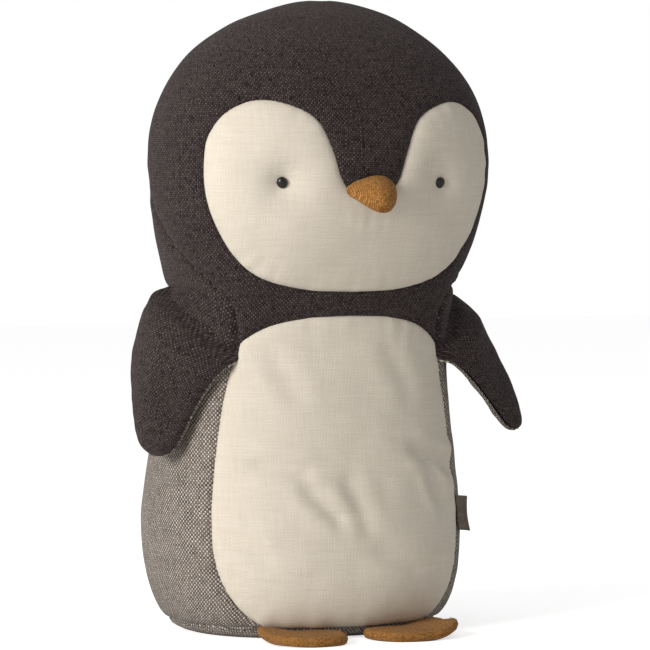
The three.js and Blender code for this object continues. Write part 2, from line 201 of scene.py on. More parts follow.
# Plain-woven linen: warp and weft threads pass over and under each other, each thread has its own
# tone and thickness, cross-dyed cloth has warp and weft of two colours, and painted shade darkens the threads
# where they dip.
def wovenLinen(name, look):
    gloss = (look[key] for key in ("roughness", "specular", "sheen", "sheenRoughness"))
    material, tree, shader = newMaterial(name, *gloss, linear(look["sheenTint"]))
    uv = addNode(tree, "ShaderNodeUVMap", uv_map="cloth").outputs[0]
    threads = (1000 / look["warpPitch"], 1000 / look["weftPitch"], 1)
    grid = addNode(tree, "ShaderNodeVectorMath", {0: uv, 1: threads}, operation="MULTIPLY").outputs[0]
    drifting = {"Vector": grid, "Scale": weave["wanderScale"], "Detail": 3.0}
    drift = addNode(tree, "ShaderNodeTexNoise", drifting)
    aboutZero = {0: drift.outputs["Color"], 1: (0.5, 0.5, 0.5)}
    centred = addNode(tree, "ShaderNodeVectorMath", aboutZero, operation="SUBTRACT")
    wander = {0: centred.outputs[0], 1: (look["wander"],) * 3, 2: grid}
    moved = addNode(tree, "ShaderNodeVectorMath", wander, operation="MULTIPLY_ADD").outputs[0]
    across, along = addNode(tree, "ShaderNodeSeparateXYZ", {0: moved}).outputs[:2]

    # each thread's own tone, slowly changing along it
    known = {"across": across, "along": along}
    for thread, numbered, followed, rowSocket, runSocket, apart in (
            ("warp", across, along, 0, 1, weave["warpLayer"]),
            ("weft", along, across, 1, 0, weave["weftLayer"])):
        number = addNode(tree, "ShaderNodeMath", {0: numbered}, operation="FLOOR").outputs[0]
        spaced = {0: number, 1: weave["toneApart"]}
        row = addNode(tree, "ShaderNodeMath", spaced, operation="MULTIPLY").outputs[0]
        follow = {0: followed, 1: look["toneRun"]}
        run = addNode(tree, "ShaderNodeMath", follow, operation="MULTIPLY").outputs[0]
        place = addNode(tree, "ShaderNodeCombineXYZ", {rowSocket: row, runSocket: run, 2: apart}).outputs[0]
        tone = addNode(tree, "ShaderNodeTexNoise", {"Vector": place, "Scale": 1.0, "Detail": 1.0})
        spread = {"Value": tone.outputs["Fac"], "From Min": 0.25, "From Max": 0.75}
        share = addNode(tree, "ShaderNodeMapRange", spread).outputs[0]
        colours = {0: share, 6: linear(look[thread + "Dark"]), 7: linear(look[thread + "Light"])}
        known[thread + "Share"] = share
        known[thread + "Colour"] = addNode(tree, "ShaderNodeMix", colours, data_type="RGBA").outputs[2]
    for result, operation, *terms in weaveSteps:
        values = {i: known.get(term, term) for i, term in enumerate(terms)}
        known[result] = addNode(tree, "ShaderNodeMath", values, operation=operation).outputs[0]

    onTop = {0: known["isWarp"], 6: known["weftColour"], 7: known["warpColour"]}
    threadColour = addNode(tree, "ShaderNodeMix", onTop, data_type="RGBA").outputs[2]
    # painted shade: the thread colour goes towards the gap colour where a thread is low, at its edges and
    # where it passes under another
    depth = {0: known["height"], 1: look["gapShadeDepth"], 2: 1 - look["gapShadeDepth"]}
    cover = addNode(tree, "ShaderNodeMath", depth, operation="MULTIPLY_ADD", use_clamp=True).outputs[0]
    gapShading = {0: cover, 6: linear(look["gap"]), 7: threadColour}
    shaded = addNode(tree, "ShaderNodeMix", gapShading, data_type="RGBA").outputs[2]

    # handling and dye make soft patches a few centimetres across
    handled = {"Vector": uv, "Scale": weave["patchScale"], "Detail": 3.0}
    patch = addNode(tree, "ShaderNodeTexNoise", handled).outputs["Fac"]
    spread = {"From Min": 0.3, "From Max": 0.7, "To Min": 1 - look["patch"], "To Max": 1 + look["patch"]}
    patches = addNode(tree, "ShaderNodeMapRange", {"Value": patch, **spread}).outputs[0]
    toned = addNode(tree, "ShaderNodeVectorMath", {0: shaded, "Scale": patches}, operation="SCALE").outputs[0]
    tree.links.new(toned, shader.inputs["Base Color"])
    bump = addNode(tree, "ShaderNodeBump", {
        "Height": known["threadRelief"], "Distance": look["relief"] * mm, "Strength": look["bump"]})
    tree.links.new(bump.outputs[0], shader.inputs["Normal"])
    return material


# Fibre, beads and thread: a fine two-tone pattern, with relief or uneven gloss from the same pattern.
def mottledFinish(name, look):
    material, tree, shader = newMaterial(name, look["roughness"], look["specular"], look["sheen"])
    place = addNode(tree, "ShaderNodeTexCoord").outputs["Object"]
    kind, settings = look["pattern"]
    pattern = addNode(tree, kind, {"Vector": place, **settings}).outputs["Fac"]
    colours = {0: pattern, 6: linear(look["colours"][0]), 7: linear(look["colours"][1])}
    shade = addNode(tree, "ShaderNodeMix", colours, data_type="RGBA").outputs[2]
    tree.links.new(shade, shader.inputs["Base Color"])
    if "gloss" in look:
        gloss = {"Value": pattern, "To Min": look["gloss"][0], "To Max": look["gloss"][1]}
        tree.links.new(addNode(tree, "ShaderNodeMapRange", gloss).outputs[0], shader.inputs["Roughness"])
    if "relief" in look:
        raised = {"Height": pattern, "Distance": look["relief"] * mm, "Strength": look["bump"]}
        tree.links.new(addNode(tree, "ShaderNodeBump", raised).outputs[0], shader.inputs["Normal"])
    return material


# Pitch is the real spacing of the threads in mm, about 0.6 in the fine cream cloth and 0.8 in the coarse
# ones. Wander is in threads, relief in mm, and a patch or a depth of painted gap shade is a share.
# each gap colour is painted shade, where the threads dip between their crossings
linenLooks = {
    # plain linen, piece-dyed charcoal: threads differ a little, so the cloth looks peppered close to
    "charcoalLinen": {
        "warpPitch": 0.78, "weftPitch": 0.82, "wander": 1.1, "toneRun": 0.3, "roughness": 0.8,
        "specular": 0.14, "sheen": 0.1, "sheenRoughness": 0.4,
        "warpDark": "201a19", "warpLight": "706160", "weftDark": "1a1514", "weftLight": "4d423f",
        "gap": "040303", "gapShadeDepth": 1.0, "patch": 0.1, "relief": 0.26, "bump": 1.0, "sheenTint": "fff0ec",
    },
    # bleached linen, washed to a warm cream: fine and even
    "creamLinen": {
        "warpPitch": 0.62, "weftPitch": 0.64, "wander": 1.0, "toneRun": 0.06, "roughness": 0.9,
        "specular": 0.25, "sheen": 0.06, "sheenRoughness": 0.4,
        "warpDark": "d2c8b8", "warpLight": "e0d7c8", "weftDark": "cfc5b5", "weftLight": "ddd4c5",
        "gap": "b0a28d", "gapShadeDepth": 0.3, "patch": 0.025, "relief": 0.09, "bump": 0.5, "sheenTint": "ffffff",
    },
    # cross-dyed linen: pale warp over dark weft, coarser than the rest
    "greyWeave": {
        "warpPitch": 0.82, "weftPitch": 0.86, "wander": 1.5, "toneRun": 0.16, "roughness": 0.9,
        "specular": 0.25, "sheen": 0.05, "sheenRoughness": 0.4,
        "warpDark": "a09387", "warpLight": "e6dbcf", "weftDark": "453d38", "weftLight": "8d8279",
        "gap": "1c1815", "gapShadeDepth": 0.85, "patch": 0.1, "relief": 0.24, "bump": 1.0, "sheenTint": "ffffff",
    },
    # washed mustard cloth with a felted face: tight, with dark specks of painted shade between the threads
    "mustardCloth": {
        "warpPitch": 0.66, "weftPitch": 0.7, "wander": 1.8, "toneRun": 0.5, "roughness": 0.92,
        "specular": 0.25, "sheen": 0.08, "sheenRoughness": 0.4,
        "warpDark": "875621", "warpLight": "d99e56", "weftDark": "784b1c", "weftLight": "c98c4a",
        "gap": "2f1805", "gapShadeDepth": 0.85, "patch": 0.1, "relief": 0.2, "bump": 1.0, "sheenTint": "ffe9c8",
    },
    # narrow woven ribbon: fine ribs across it
    "labelRibbon": {
        "warpPitch": 0.7, "weftPitch": 0.5, "wander": 0.3, "toneRun": 0.2, "roughness": 0.75,
        "specular": 0.25, "sheen": 0.05, "sheenRoughness": 0.4,
        "warpDark": "6b6056", "warpLight": "9a8d80", "weftDark": "4c433c", "weftLight": "85786b",
        "gap": "2a231f", "gapShadeDepth": 0.7, "patch": 0.03, "relief": 0.1, "bump": 0.7, "sheenTint": "ffffff",
    },
}

mottledLooks = {
    # carded polyester fibre: matt white tufts about 1.5 mm across
    "whiteFibre": {
        "pattern": ("ShaderNodeTexNoise", {"Scale": 1000 / 1.5, "Detail": 4.0}),
        "colours": ("dcd8cf", "f6f4ee"), "roughness": 0.95, "specular": 0.2, "sheen": 0.5,
        "relief": 0.4, "bump": 0.6,
    },
    # loose unbleached cotton, for the pouch of pellets: finer tufts and a yellower white
    "looseCotton": {
        "pattern": ("ShaderNodeTexNoise", {"Scale": 1000 / 0.8, "Detail": 4.0}),
        "colours": ("cfc8b8", "e2dccd"), "roughness": 0.95, "specular": 0.2, "sheen": 0.5,
        "relief": 0.4, "bump": 0.6,
    },
    # polished black acrylic: smooth, with the faintest scuffing
    "blackBead": {
        "pattern": ("ShaderNodeTexNoise", {"Scale": 900.0, "Detail": 4.0}),
        "colours": ("0b0909", "16120f"), "roughness": 0.3, "specular": 0.5, "sheen": 0.0,
        "gloss": (0.24, 0.42),
    },
    # twisted cotton sewing thread: the plies show as slanting ribs
    "darkThread": {
        "pattern": ("ShaderNodeTexWave", {"Scale": 400.0, "Distortion": 1.0}),
        "colours": ("1c1816", "3a3431"), "roughness": 0.7, "specular": 0.4, "sheen": 0.2,
        "relief": 0.05, "bump": 0.5,
    },
}
mottledLooks["mustardThread"] = dict(mottledLooks["darkThread"], colours=("6a4315", "a87332"))

materials = {name: wovenLinen(name, look) for name, look in linenLooks.items()}
materials.update({name: mottledFinish(name, look) for name, look in mottledLooks.items()})
print("materials ready")


def smoothStep(low, high, value):
    t = np.clip((value - low) / (high - low), 0, 1)
    return t * t * (3 - 2 * t)


# A centripetal Catmull-Rom line through points, in any number of dimensions.
def smoothLine(points, count, closed=False):
    points = np.asarray(points, float)
    if closed:
        points = np.vstack([points[-1], points, points[0], points[1]])
    else:
        points = np.vstack([2 * points[0] - points[1], points, 2 * points[-1] - points[-2]])
    spans = len(points) - 3
    result = []
    for place in np.linspace(0, spans, count + 1)[: None if not closed else -1]:
        i = min(int(place), spans - 1)
        p = points[i:i + 4]
        knots = np.concatenate([[0], np.cumsum(np.linalg.norm(np.diff(p, axis=0), axis=1) ** 0.5)])
        t = knots[1] + (place - i) * (knots[2] - knots[1])
        level = p
        for left, right in ((knots[:3], knots[1:]), (knots[:2], knots[2:]), (knots[1:2], knots[2:3])):
            share = ((t - left) / (right - left))[:, None]
            level = level[:-1] * (1 - share) + level[1:] * share
        result.append(level[0])
    return np.array(result)


def meshFromArrays(name, points, faces):
    mesh = bpy.data.meshes.new(name)
    corners = [tuple(p) for p in np.asarray(points) * mm]
    mesh.from_pydata(corners, [], [tuple(int(i) for i in f) for f in faces])
    return mesh


def pointsOf(mesh):
    flat = np.empty(len(mesh.vertices) * 3, np.float32)
    mesh.vertices.foreach_get("co", flat)
    return flat.reshape(-1, 3).astype(float) / mm


def evaluated(item):
    graph = bpy.context.evaluated_depsgraph_get()
    return bpy.data.meshes.new_from_object(item.evaluated_get(graph), depsgraph=graph)


def vertexNormals(points, triangles):
    corner = points[triangles]
    face = np.cross(corner[:, 1] - corner[:, 0], corner[:, 2] - corner[:, 0])
    normals = np.zeros_like(points)
    for k in range(3):
        np.add.at(normals, triangles[:, k], face)
    return normals / np.maximum(np.linalg.norm(normals, axis=1, keepdims=True), 1e-12)


def edgesOf(triangles):
    return np.concatenate([triangles[:, [0, 1]], triangles[:, [1, 2]], triangles[:, [2, 0]]])


# Two triangles for each four-sided face, without those that a pole draws shut.
def splitQuads(quads):
    faces = np.concatenate([quads[:, [0, 1, 2]], quads[:, [0, 2, 3]]])
    good = (faces[:, 0] != faces[:, 1]) & (faces[:, 1] != faces[:, 2]) & (faces[:, 0] != faces[:, 2])
    return faces[good]


# Drops the points that no face uses, and turns a closed shell's faces outwards.
def closedShell(points, faces):
    a, b, c = points[faces].transpose(1, 0, 2)
    volume = (a * np.cross(b, c)).sum()
    faces = faces[:, ::-1] if volume < 0 else faces
    used, packed = np.unique(faces, return_inverse=True)
    return used, packed.reshape(-1, 3)


# Smooth random relief: one value for each point, from -1 to 1, at a wavelength in mm.
def relief(points, wavelength, seed):
    shift = Vector((seed * 13.7, seed * 7.1, seed * 3.3))
    return np.array([noise.noise(Vector(p) / wavelength + shift) for p in points])


# Cuts triangles exactly along the line where field is zero, and gives new points their share
# of every column in data.
def cutAlong(triangles, data, field):
    field = np.where(np.abs(field) < 0.02, 0.0, field)     # points this near are on the line
    side = np.sign(field).astype(int)
    edges = np.sort(edgesOf(triangles), axis=1)
    crossing = np.unique(edges[side[edges[:, 0]] * side[edges[:, 1]] < 0], axis=0)
    if not len(crossing):
        return triangles, data
    a, b = crossing[:, 0], crossing[:, 1]
    share = (field[a] / (field[a] - field[b]))[:, None]
    added = data[a] * (1 - share) + data[b] * share
    keys = a * len(data) + b
    newData = np.vstack([data, added])

    def middle(p, q):
        low, high = np.minimum(p, q), np.maximum(p, q)
        return len(data) + np.searchsorted(keys, low * len(data) + high)

    s = side[triangles]
    done = [triangles[~(((s > 0).any(1)) & ((s < 0).any(1)))]]
    for turn in range(3):
        t = np.roll(triangles, -turn, axis=1)
        q = side[t]
        # the first corner is alone on its side, and the other two are on the other one
        alone = (q[:, 0] * q[:, 1] < 0) & (q[:, 0] * q[:, 2] < 0)
        f = t[alone]
        if len(f):
            m1, m2 = middle(f[:, 0], f[:, 1]), middle(f[:, 0], f[:, 2])
            done += [np.stack([f[:, 0], m1, m2], 1), np.stack([m1, f[:, 1], f[:, 2]], 1),
                     np.stack([m1, f[:, 2], m2], 1)]
        # the first corner is on the line, and the other two are on different sides
        through = (q[:, 0] == 0) & (q[:, 1] * q[:, 2] < 0)
        f = t[through]
        if len(f):
            m = middle(f[:, 1], f[:, 2])
            done += [np.stack([f[:, 0], f[:, 1], m], 1), np.stack([f[:, 0], m, f[:, 2]], 1)]
    return np.concatenate(done), newData


# Gives a shell of triangles its wall thickness, inwards, and makes it a mesh with its own UV map in metres.
def clothPiece(name, points, triangles, uv, normals, material, thickness):
    used, packed = np.unique(triangles, return_inverse=True)
    triangles = packed.reshape(-1, 3)
    outer, inner = points[used], points[used] - normals[used] * thickness
    count = len(used)
    edges = edgesOf(triangles)
    keys = set(map(tuple, edges))
    rim = np.array([e for e in map(tuple, edges) if (e[1], e[0]) not in keys])
    walls = []
    if len(rim):
        a, b = rim[:, 0], rim[:, 1]
        walls = [np.stack([b, a, a + count], 1), np.stack([b, a + count, b + count], 1)]
    everything = np.concatenate([triangles, triangles[:, ::-1] + count] + walls)
    return meshPiece(name, np.vstack([outer, inner]), everything, np.vstack([uv[used]] * 2), material)


def meshPiece(name, points, faces, uv, material):
    mesh = meshFromArrays(name, points, faces)
    layer = mesh.uv_layers.new(name="cloth")
    corners = np.empty(len(mesh.loops), np.int32)
    mesh.loops.foreach_get("vertex_index", corners)
    layer.data.foreach_set("uv", (np.asarray(uv)[corners] * mm).astype(np.float32).ravel())
    mesh.materials.append(materials[material])
    mesh.shade_smooth()
    mesh.set_sharp_from_angle(angle=math.radians(60))
    return linkObject(name, mesh)


def finishPiece(piece, body, nodes):
    if isinstance(body, str):
        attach(piece, body)
    else:
        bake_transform(piece)
    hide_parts(*nodes)


form = {
    # height, half width, how far it reaches to the front and to the back
    "sections": [
        (0, 48, 38, 46), (2.5, 53.5, 45.5, 52), (10, 58, 50.5, 55.5), (24, 62.5, 52.5, 58.5),
        (45, 64, 50.5, 59), (70, 61.5, 47.5, 54), (100, 58, 44, 43), (125, 57.5, 43, 37.5),
        (143, 61, 52, 37), (162, 66.5, 60.5, 37),
        (186, 69.5, 63.5, 36), (208, 66, 60, 33), (228, 53, 49, 25), (241, 35, 35, 11), (248, 16, 22, -5),
        (250, 0, 14, -14),
    ],
    "roundness": 2.3,
    "rows": 193,            # odd, because every second one is simulated
    "columns": 272,
    "discRows": 10,
    "eyeDimples": [(-34.4, 178, 5.4, 9), (32.4, 178, 5.4, 9)],      # x, z, depth, spread
}

panels = {
    "faceHalf": [
        (0, 174.5), (9, 174.8), (12.5, 179), (16.5, 191), (22.5, 203), (33, 208.7), (43.5, 210.3), (54, 206),
        (60.5, 197), (62.3, 185), (60.5, 170), (54, 155), (41, 141.5), (22, 135.8), (0, 134.6),
    ],
    "bellyTopHalf": [(0, 125.5), (20, 124.4), (34, 121), (44, 114), (52, 102), (75, 60)],
    "sideSeam": [(-40, -2), (-35, 12), (-30.5, 30), (-28, 58), (-28, 90), (-31, 115), (-32, 136)],
    "headSeam": [(-32, 136), (-10, 158), (8, 180), (20, 204), (22, 224), (12, 262)],
    "faceBehind": -13.0,    # the face ends before the head's widest place
    "neckHeight": 136.0,
    "baseHeight": 3.0,
    "thickness": 0.8,
    "fill": 0.8,
    "grooveDepth": 1.5,
    "grooveWidth": 1.5,
    "puckerDepth": 0.6,
    "puckerSpacing": 5.0,
    "puckerReach": 6.0,
    "puckerShy": 0.7,       # how much of a pucker the seam itself flattens
    "cutsBeside": (0.9, 2.2),       # more points beside the seams, for a clean fold
    "lumpDepth": 0.9,
    "lumpSize": 26.0,
    "lumpFrom": 12.0,       # the stuffing's lumps are full this far from a seam
    # soft creases in the front: x and z of both ends, depth, half width
    "creases": [
        (-36, 68.5, -22, 66, 1.3, 3.0), (-20, 58, -9, 48, 1.4, 3.0), (-3, 60, 3, 45, 0.8, 3.5),
        (30, 72, 46, 66, 2.0, 3.2), (36, 62, 41, 52, 1.7, 2.8), (-48, 40, -38, 33, 0.9, 3.0),
        (12, 33, 24, 27, 0.8, 4.0), (-30, 108, -24, 96, 0.6, 4.0), (18, 110, 25, 97, 0.6, 4.0),
    ],
}

# name, cloth, CAD node and slot, in the order of panelKinds
bodyPanels = [
    ("basePanel", "greyWeave", "base_panel", "grey_weave"),
    ("headBack", "charcoalLinen", "head_back_panel", "charcoal_cloth"),
    ("backRight", "greyWeave", "back_panel_right", "grey_weave"),
    ("backLeft", "greyWeave", "back_panel_left", "grey_weave"),
    ("facePanel", "creamLinen", "face_panel", "cream_cloth"),
    ("bellyPanel", "creamLinen", "belly_panel", "cream_cloth"),
    ("hoodFront", "charcoalLinen", "hood_front_panel", "charcoal_cloth"),
]

skinSim = {
    "hold": 0.55,           # how hard the stuffing holds the skin to its form
    "heldBelow": 0.5,       # the part it stands on doesn't move
    "seamReach": 4.0,       # how far from a seam its shorter thread is felt
    "frames": 22,
    "cap": 2.5,             # mm that any point may move
    "cloth": {
        "quality": 5, "mass": 0.25, "tension_stiffness": 12, "compression_stiffness": 12,
        "shear_stiffness": 4, "bending_stiffness": 0.4, "pin_stiffness": 0.5,
        "shrink_min": 0.0, "shrink_max": 0.035,
        "use_pressure": True, "uniform_pressure_force": 3.0,
        "vertex_group_mass": "hold", "vertex_group_shrink": "tight",
    },
}


def splineRows(sections, places):
    p = np.asarray(sections, float)
    p = np.vstack([2 * p[0] - p[1], p, 2 * p[-1] - p[-2]])
    i = np.minimum(places.astype(int), len(sections) - 2)
    t = (places - i)[:, None]
    a, b, c, d = p[i], p[i + 1], p[i + 2], p[i + 3]
    square, cube = 2 * a - 5 * b + 4 * c - d, 3 * b - a - 3 * c + d
    return 0.5 * (2 * b + (c - a) * t + square * t ** 2 + cube * t ** 3)


def bodyGrid():
    dense = splineRows(form["sections"], np.linspace(0, len(form["sections"]) - 1, 3000))
    across = np.linalg.norm(np.diff(dense[:, [0, 1]], axis=0), axis=1)
    fore = np.linalg.norm(np.diff(dense[:, [0, 2]], axis=0), axis=1)
    length = np.concatenate([[0], np.cumsum((across + fore) / 2)])
    sideRows = form["rows"] - form["discRows"]
    heights = np.linspace(0, length[-1], sideRows)
    sections = np.stack([np.interp(heights, length, dense[:, k]) for k in range(4)], 1)
    discLength = form["sections"][0][1]
    angles = np.linspace(-math.pi, math.pi, 2401)
    power = 2 / form["roundness"]
    s = np.sign(np.sin(angles)) * np.abs(np.sin(angles)) ** power
    c = np.sign(np.cos(angles)) * np.abs(np.cos(angles)) ** power
    columns = form["columns"]
    shares = np.arange(columns) / columns
    rest, girths, along = [], [], []
    for k in range(form["rows"]):
        scale = min(k / form["discRows"], 1)
        z, wide, front, back = sections[max(k - form["discRows"], 0)]
        x = wide * s * scale
        y = ((back - front) / 2 - (back + front) / 2 * c) * scale
        step = np.concatenate([[0], np.cumsum(np.hypot(np.diff(x), np.diff(y)))])
        where = ((shares + 0.5) % 1) * step[-1]     # column 0 is at the front
        rest.append(np.stack([np.interp(where, step, x), np.interp(where, step, y), np.full(columns, z)], 1))
        girths.append(step[-1])
        along.append(k / form["discRows"] * discLength if k < form["discRows"]
                     else discLength + heights[k - form["discRows"]])
    rest = np.array(rest)
    for dimpleX, dimpleZ, depth, spread in form["eyeDimples"]:
        away = np.hypot(rest[..., 0] - dimpleX, rest[..., 2] - dimpleZ)
        pull = 0.6 * np.exp(-(away / spread) ** 2) + 0.4 * np.exp(-away / (0.45 * spread))
        rest[..., 1] += np.where(rest[..., 1] < 0, depth * pull, 0)
    phi = 2 * math.pi * ((shares + 0.5) % 1 - 0.5)
    return rest, phi, np.array(girths), np.array(along)


def gridIndex(rows, columns):
    index = np.arange(rows * columns).reshape(rows, columns)
    index[0, :] = index[0, 0]
    index[-1, :] = index[-1, 0]
    return index


def gridQuads(index):
    nextOne = np.roll(index, -1, axis=1)
    return np.stack([index[:-1], nextOne[:-1], nextOne[1:], index[1:]], -1).reshape(-1, 4)


sideLine = np.vstack([smoothLine(panels["sideSeam"], 120), smoothLine(panels["headSeam"], 120)[1:]])
faceLine = smoothLine(panels["faceHalf"], 160)
facePolygon = np.vstack([faceLine, faceLine[-2:0:-1] * [-1, 1]])
bellyLine = smoothLine(panels["bellyTopHalf"], 120)


def insideDistance(polygon, x, z):
    # signed distance to a closed outline, positive inside
    near = np.full(len(x), 1e9)
    inside = np.zeros(len(x), bool)
    for a, b in zip(polygon, np.roll(polygon, -1, axis=0)):
        edge = b - a
        t = np.clip(((x - a[0]) * edge[0] + (z - a[1]) * edge[1]) / max(edge @ edge, 1e-12), 0, 1)
        near = np.minimum(near, np.hypot(x - a[0] - t * edge[0], z - a[1] - t * edge[1]))
        spans = (a[1] > z) != (b[1] > z)
        crossAt = a[0] + (z - a[1]) * edge[0] / (edge[1] if abs(edge[1]) > 1e-12 else 1e-12)
        inside ^= spans & (x < crossAt)
    return np.where(inside, near, -near)


def seamFields(rest):
    x, y, z = rest.T
    return {
        "base": z - panels["baseHeight"],
        "side": y - np.interp(z, sideLine[:, 1], sideLine[:, 0]),       # positive behind the seam
        "neck": z - panels["neckHeight"],
        "centre": x,
        "face": np.where(y < panels["faceBehind"], insideDistance(facePolygon, x, z), -5.0),
        "belly": z - np.interp(np.abs(x), bellyLine[:, 0], bellyLine[:, 1]),
    }


def simulatedSkin(rest, fields):
    rows, columns = rest.shape[:2]
    index = gridIndex(rows, columns)
    quads = gridQuads(index)
    used, packed = np.unique(quads, return_inverse=True)
    quads = packed.reshape(-1, 4)
    points = rest.reshape(-1, 3)[used]
    faces = [list(dict.fromkeys(q)) for q in quads.tolist()]
    item = linkObject("skinSim", meshFromArrays("skinSim", points, faces))
    f = {key: value[used] for key, value in fields.items()}
    rear = f["side"] > 0
    near = np.minimum(np.abs(f["side"]), np.abs(f["base"]))
    near = np.where(rear, np.minimum(near, np.abs(f["neck"])), near)
    near = np.where(rear & (f["neck"] < 0), np.minimum(near, np.abs(f["centre"])), near)
    near = np.where(~rear, np.minimum(near, np.minimum(np.abs(f["face"]), np.abs(f["belly"]))), near)
    hold = item.vertex_groups.new(name="hold")
    tight = item.vertex_groups.new(name="tight")
    for i, (distance, height) in enumerate(zip(near, points[:, 2])):
        hold.add([i], 1.0 if height < skinSim["heldBelow"] else skinSim["hold"], "REPLACE")
        tight.add([i], float(math.exp(-(distance / skinSim["seamReach"]) ** 2)), "REPLACE")
    cloth = item.modifiers.new("cloth", "CLOTH")
    for key, value in skinSim["cloth"].items():
        setattr(cloth.settings, key, value)
    cloth.settings.effector_weights.gravity = 0
    cloth.collision_settings.use_collision = False
    cloth.point_cache.frame_end = skinSim["frames"] + 2
    scene = bpy.context.scene
    for frameNumber in range(1, skinSim["frames"] + 1):
        scene.frame_set(frameNumber)
    moved = pointsOf(evaluated(item))
    scene.frame_set(1)
    bpy.data.objects.remove(item)
    shift = moved - points
    length = np.linalg.norm(shift, axis=1)
    print(f"skin simulated: moved {length.mean():.2f} mm on average, {length.max():.2f} mm at most")
    shift *= np.minimum(1, skinSim["cap"] / np.maximum(length, 1e-9))[:, None]
    full = np.zeros((rows * columns, 3))
    full[used] = shift
    return full[index]


def doubled(grid, closed):
    # puts a smooth value between each two rows
    before, after = np.roll(grid, 1, axis=0), np.roll(grid, -1, axis=0)
    beyond = np.roll(grid, -2, axis=0)
    if not closed:
        before[0], after[-1] = grid[0], grid[-1]
        beyond[-1], beyond[-2] = grid[-1], grid[-1]
    middle = (9 * (grid + after) - before - beyond) / 16
    result = np.stack([grid, middle], 1).reshape(-1, *grid.shape[1:])
    return result if closed else result[:-1]


def creaseDepth(rest):
    depth = np.zeros(len(rest))
    for x1, z1, x2, z2, deep, wide in panels["creases"]:
        a, edge = np.array([x1, z1], float), np.array([x2 - x1, z2 - z1], float)
        offset = rest[:, [0, 2]] - a
        t = offset @ edge / (edge @ edge)
        outside = np.maximum(np.maximum(-t, t - 1), 0) * np.linalg.norm(edge)
        away = np.abs(offset[:, 0] * edge[1] - offset[:, 1] * edge[0]) / np.linalg.norm(edge)
        bell = np.exp(-(away / wide) ** 2 - (outside / (1.6 * wide)) ** 2)
        ridge = 0.45 * np.exp(-((away - 2.1 * wide) / wide) ** 2 - (outside / (1.6 * wide)) ** 2)
        depth += np.where(rest[:, 1] < 0, deep * (bell - ridge), 0)
    return depth


def panelKinds(places):
    f = seamFields(places)
    rear, above = f["side"] > 0, f["neck"] > 0
    return np.where(f["base"] < 0, 0, np.where(
        rear, np.where(above, 1, np.where(f["centre"] < 0, 2, 3)),
        np.where(f["face"] > 0, 4, np.where(f["belly"] < 0, 5, 6))))


# The seams are the edges between two kinds of panel. Gives a function that finds how far points are
# from the nearest seam, and where on it.
def seamFinder(triangles, points, kind):
    edges = np.sort(edgesOf(triangles), axis=1)
    order = np.lexsort(edges.T)
    ordered, kinds = edges[order], np.concatenate([kind] * 3)[order]
    same = (ordered[:-1] == ordered[1:]).all(1) & (kinds[:-1] != kinds[1:])
    first, second = points[ordered[:-1][same]].transpose(1, 0, 2)
    samples = np.concatenate([first * (1 - t) + second * t for t in (0, 0.25, 0.5, 0.75)])
    tree = kdtree.KDTree(len(samples))
    for i, p in enumerate(samples):
        tree.insert(p, i)
    tree.balance()

    def seamDistance(places):
        found = [tree.find(p) for p in places]
        return np.array([f[2] for f in found]), np.array([f[0] for f in found])

    return seamDistance


# Seam grooves, puckers beside them, the stuffing's lumps and the belly's creases. The base stays flat.
def sewnRelief(triangles, rest, points, distance, nearest):
    away = np.minimum(distance, 40)
    isBase = rest[:, 2] < 1
    groove = np.where(isBase, 0, panels["grooveDepth"] * np.exp(-away / panels["grooveWidth"]))
    pucker = relief(nearest, panels["puckerSpacing"], 1) * np.exp(-away / panels["puckerReach"])
    pucker *= 1 - panels["puckerShy"] * np.exp(-away)
    lump = relief(points, panels["lumpSize"], 2) + 0.45 * relief(points, panels["lumpSize"] / 2.3, 3)
    lump *= smoothStep(0, panels["lumpFrom"], away)
    out = panels["puckerDepth"] * pucker + panels["lumpDepth"] * 0.5 * lump - groove - creaseDepth(rest)
    points = points + vertexNormals(points, triangles) * np.where(isBase, 0, out)[:, None]
    points[:, 2] = np.maximum(points[:, 2], 0)
    return points


def makeBody():
    rest, phi, girths, along = bodyGrid()
    rows, columns = rest.shape[:2]
    shift = np.zeros_like(rest)
    coarse = rest[::2, ::2]
    shift = doubled(simulatedSkin(coarse, seamFields(coarse.reshape(-1, 3))), False)
    shift = np.swapaxes(doubled(np.swapaxes(shift, 0, 1), True), 0, 1)
    triangles = splitQuads(gridQuads(gridIndex(rows, columns)))
    cloth = [np.cos(phi)[None], np.sin(phi)[None], girths[:, None], along[:, None]]
    cloth = [np.broadcast_to(part, (rows, columns))[..., None] for part in cloth]
    data = np.concatenate([rest, rest + shift, *cloth], -1).reshape(rows * columns, -1)
    for key in ("base", "side", "neck", "centre", "face", "belly"):
        triangles, data = cutAlong(triangles, data, seamFields(data[:, :3])[key])
    kind = panelKinds(data[triangles, :3].mean(1))
    seamDistance = seamFinder(triangles, data[:, 3:6], kind)
    data = np.column_stack([data, seamDistance(data[:, 3:6])[0]])
    for beside in panels["cutsBeside"]:
        triangles, data = cutAlong(triangles, data, data[:, -1] - beside)
    kind = panelKinds(data[triangles, :3].mean(1))
    points = sewnRelief(triangles, data[:, :3], data[:, 3:6], *seamDistance(data[:, 3:6]))
    normals = vertexNormals(points, triangles)
    cosine, sine, girth, meridian = data[:, 6:10].T
    for number, (name, cloth, node, slotName) in enumerate(bodyPanels):
        angle = np.arctan2(sine, cosine)
        if name in ("backRight", "backLeft"):
            sign = 1 if name == "backLeft" else -1
            angle = np.where(angle * sign < 0, angle + 2 * math.pi * sign, angle)
        if name == "headBack":
            angle = np.arctan2(-sine, -cosine)
        uv = np.stack([angle / (2 * math.pi) * girth, meridian], 1)
        if name == "basePanel":
            uv = data[:, :2]
        mine = triangles[kind == number]
        piece = clothPiece(name, points, mine, uv, normals, cloth, panels["thickness"])
        finishPiece(piece, "torso", [node])
        print(f"{name} sewn: {len(piece.data.polygons)} faces")
    return points, triangles


skinPoints, skinTriangles = makeBody()


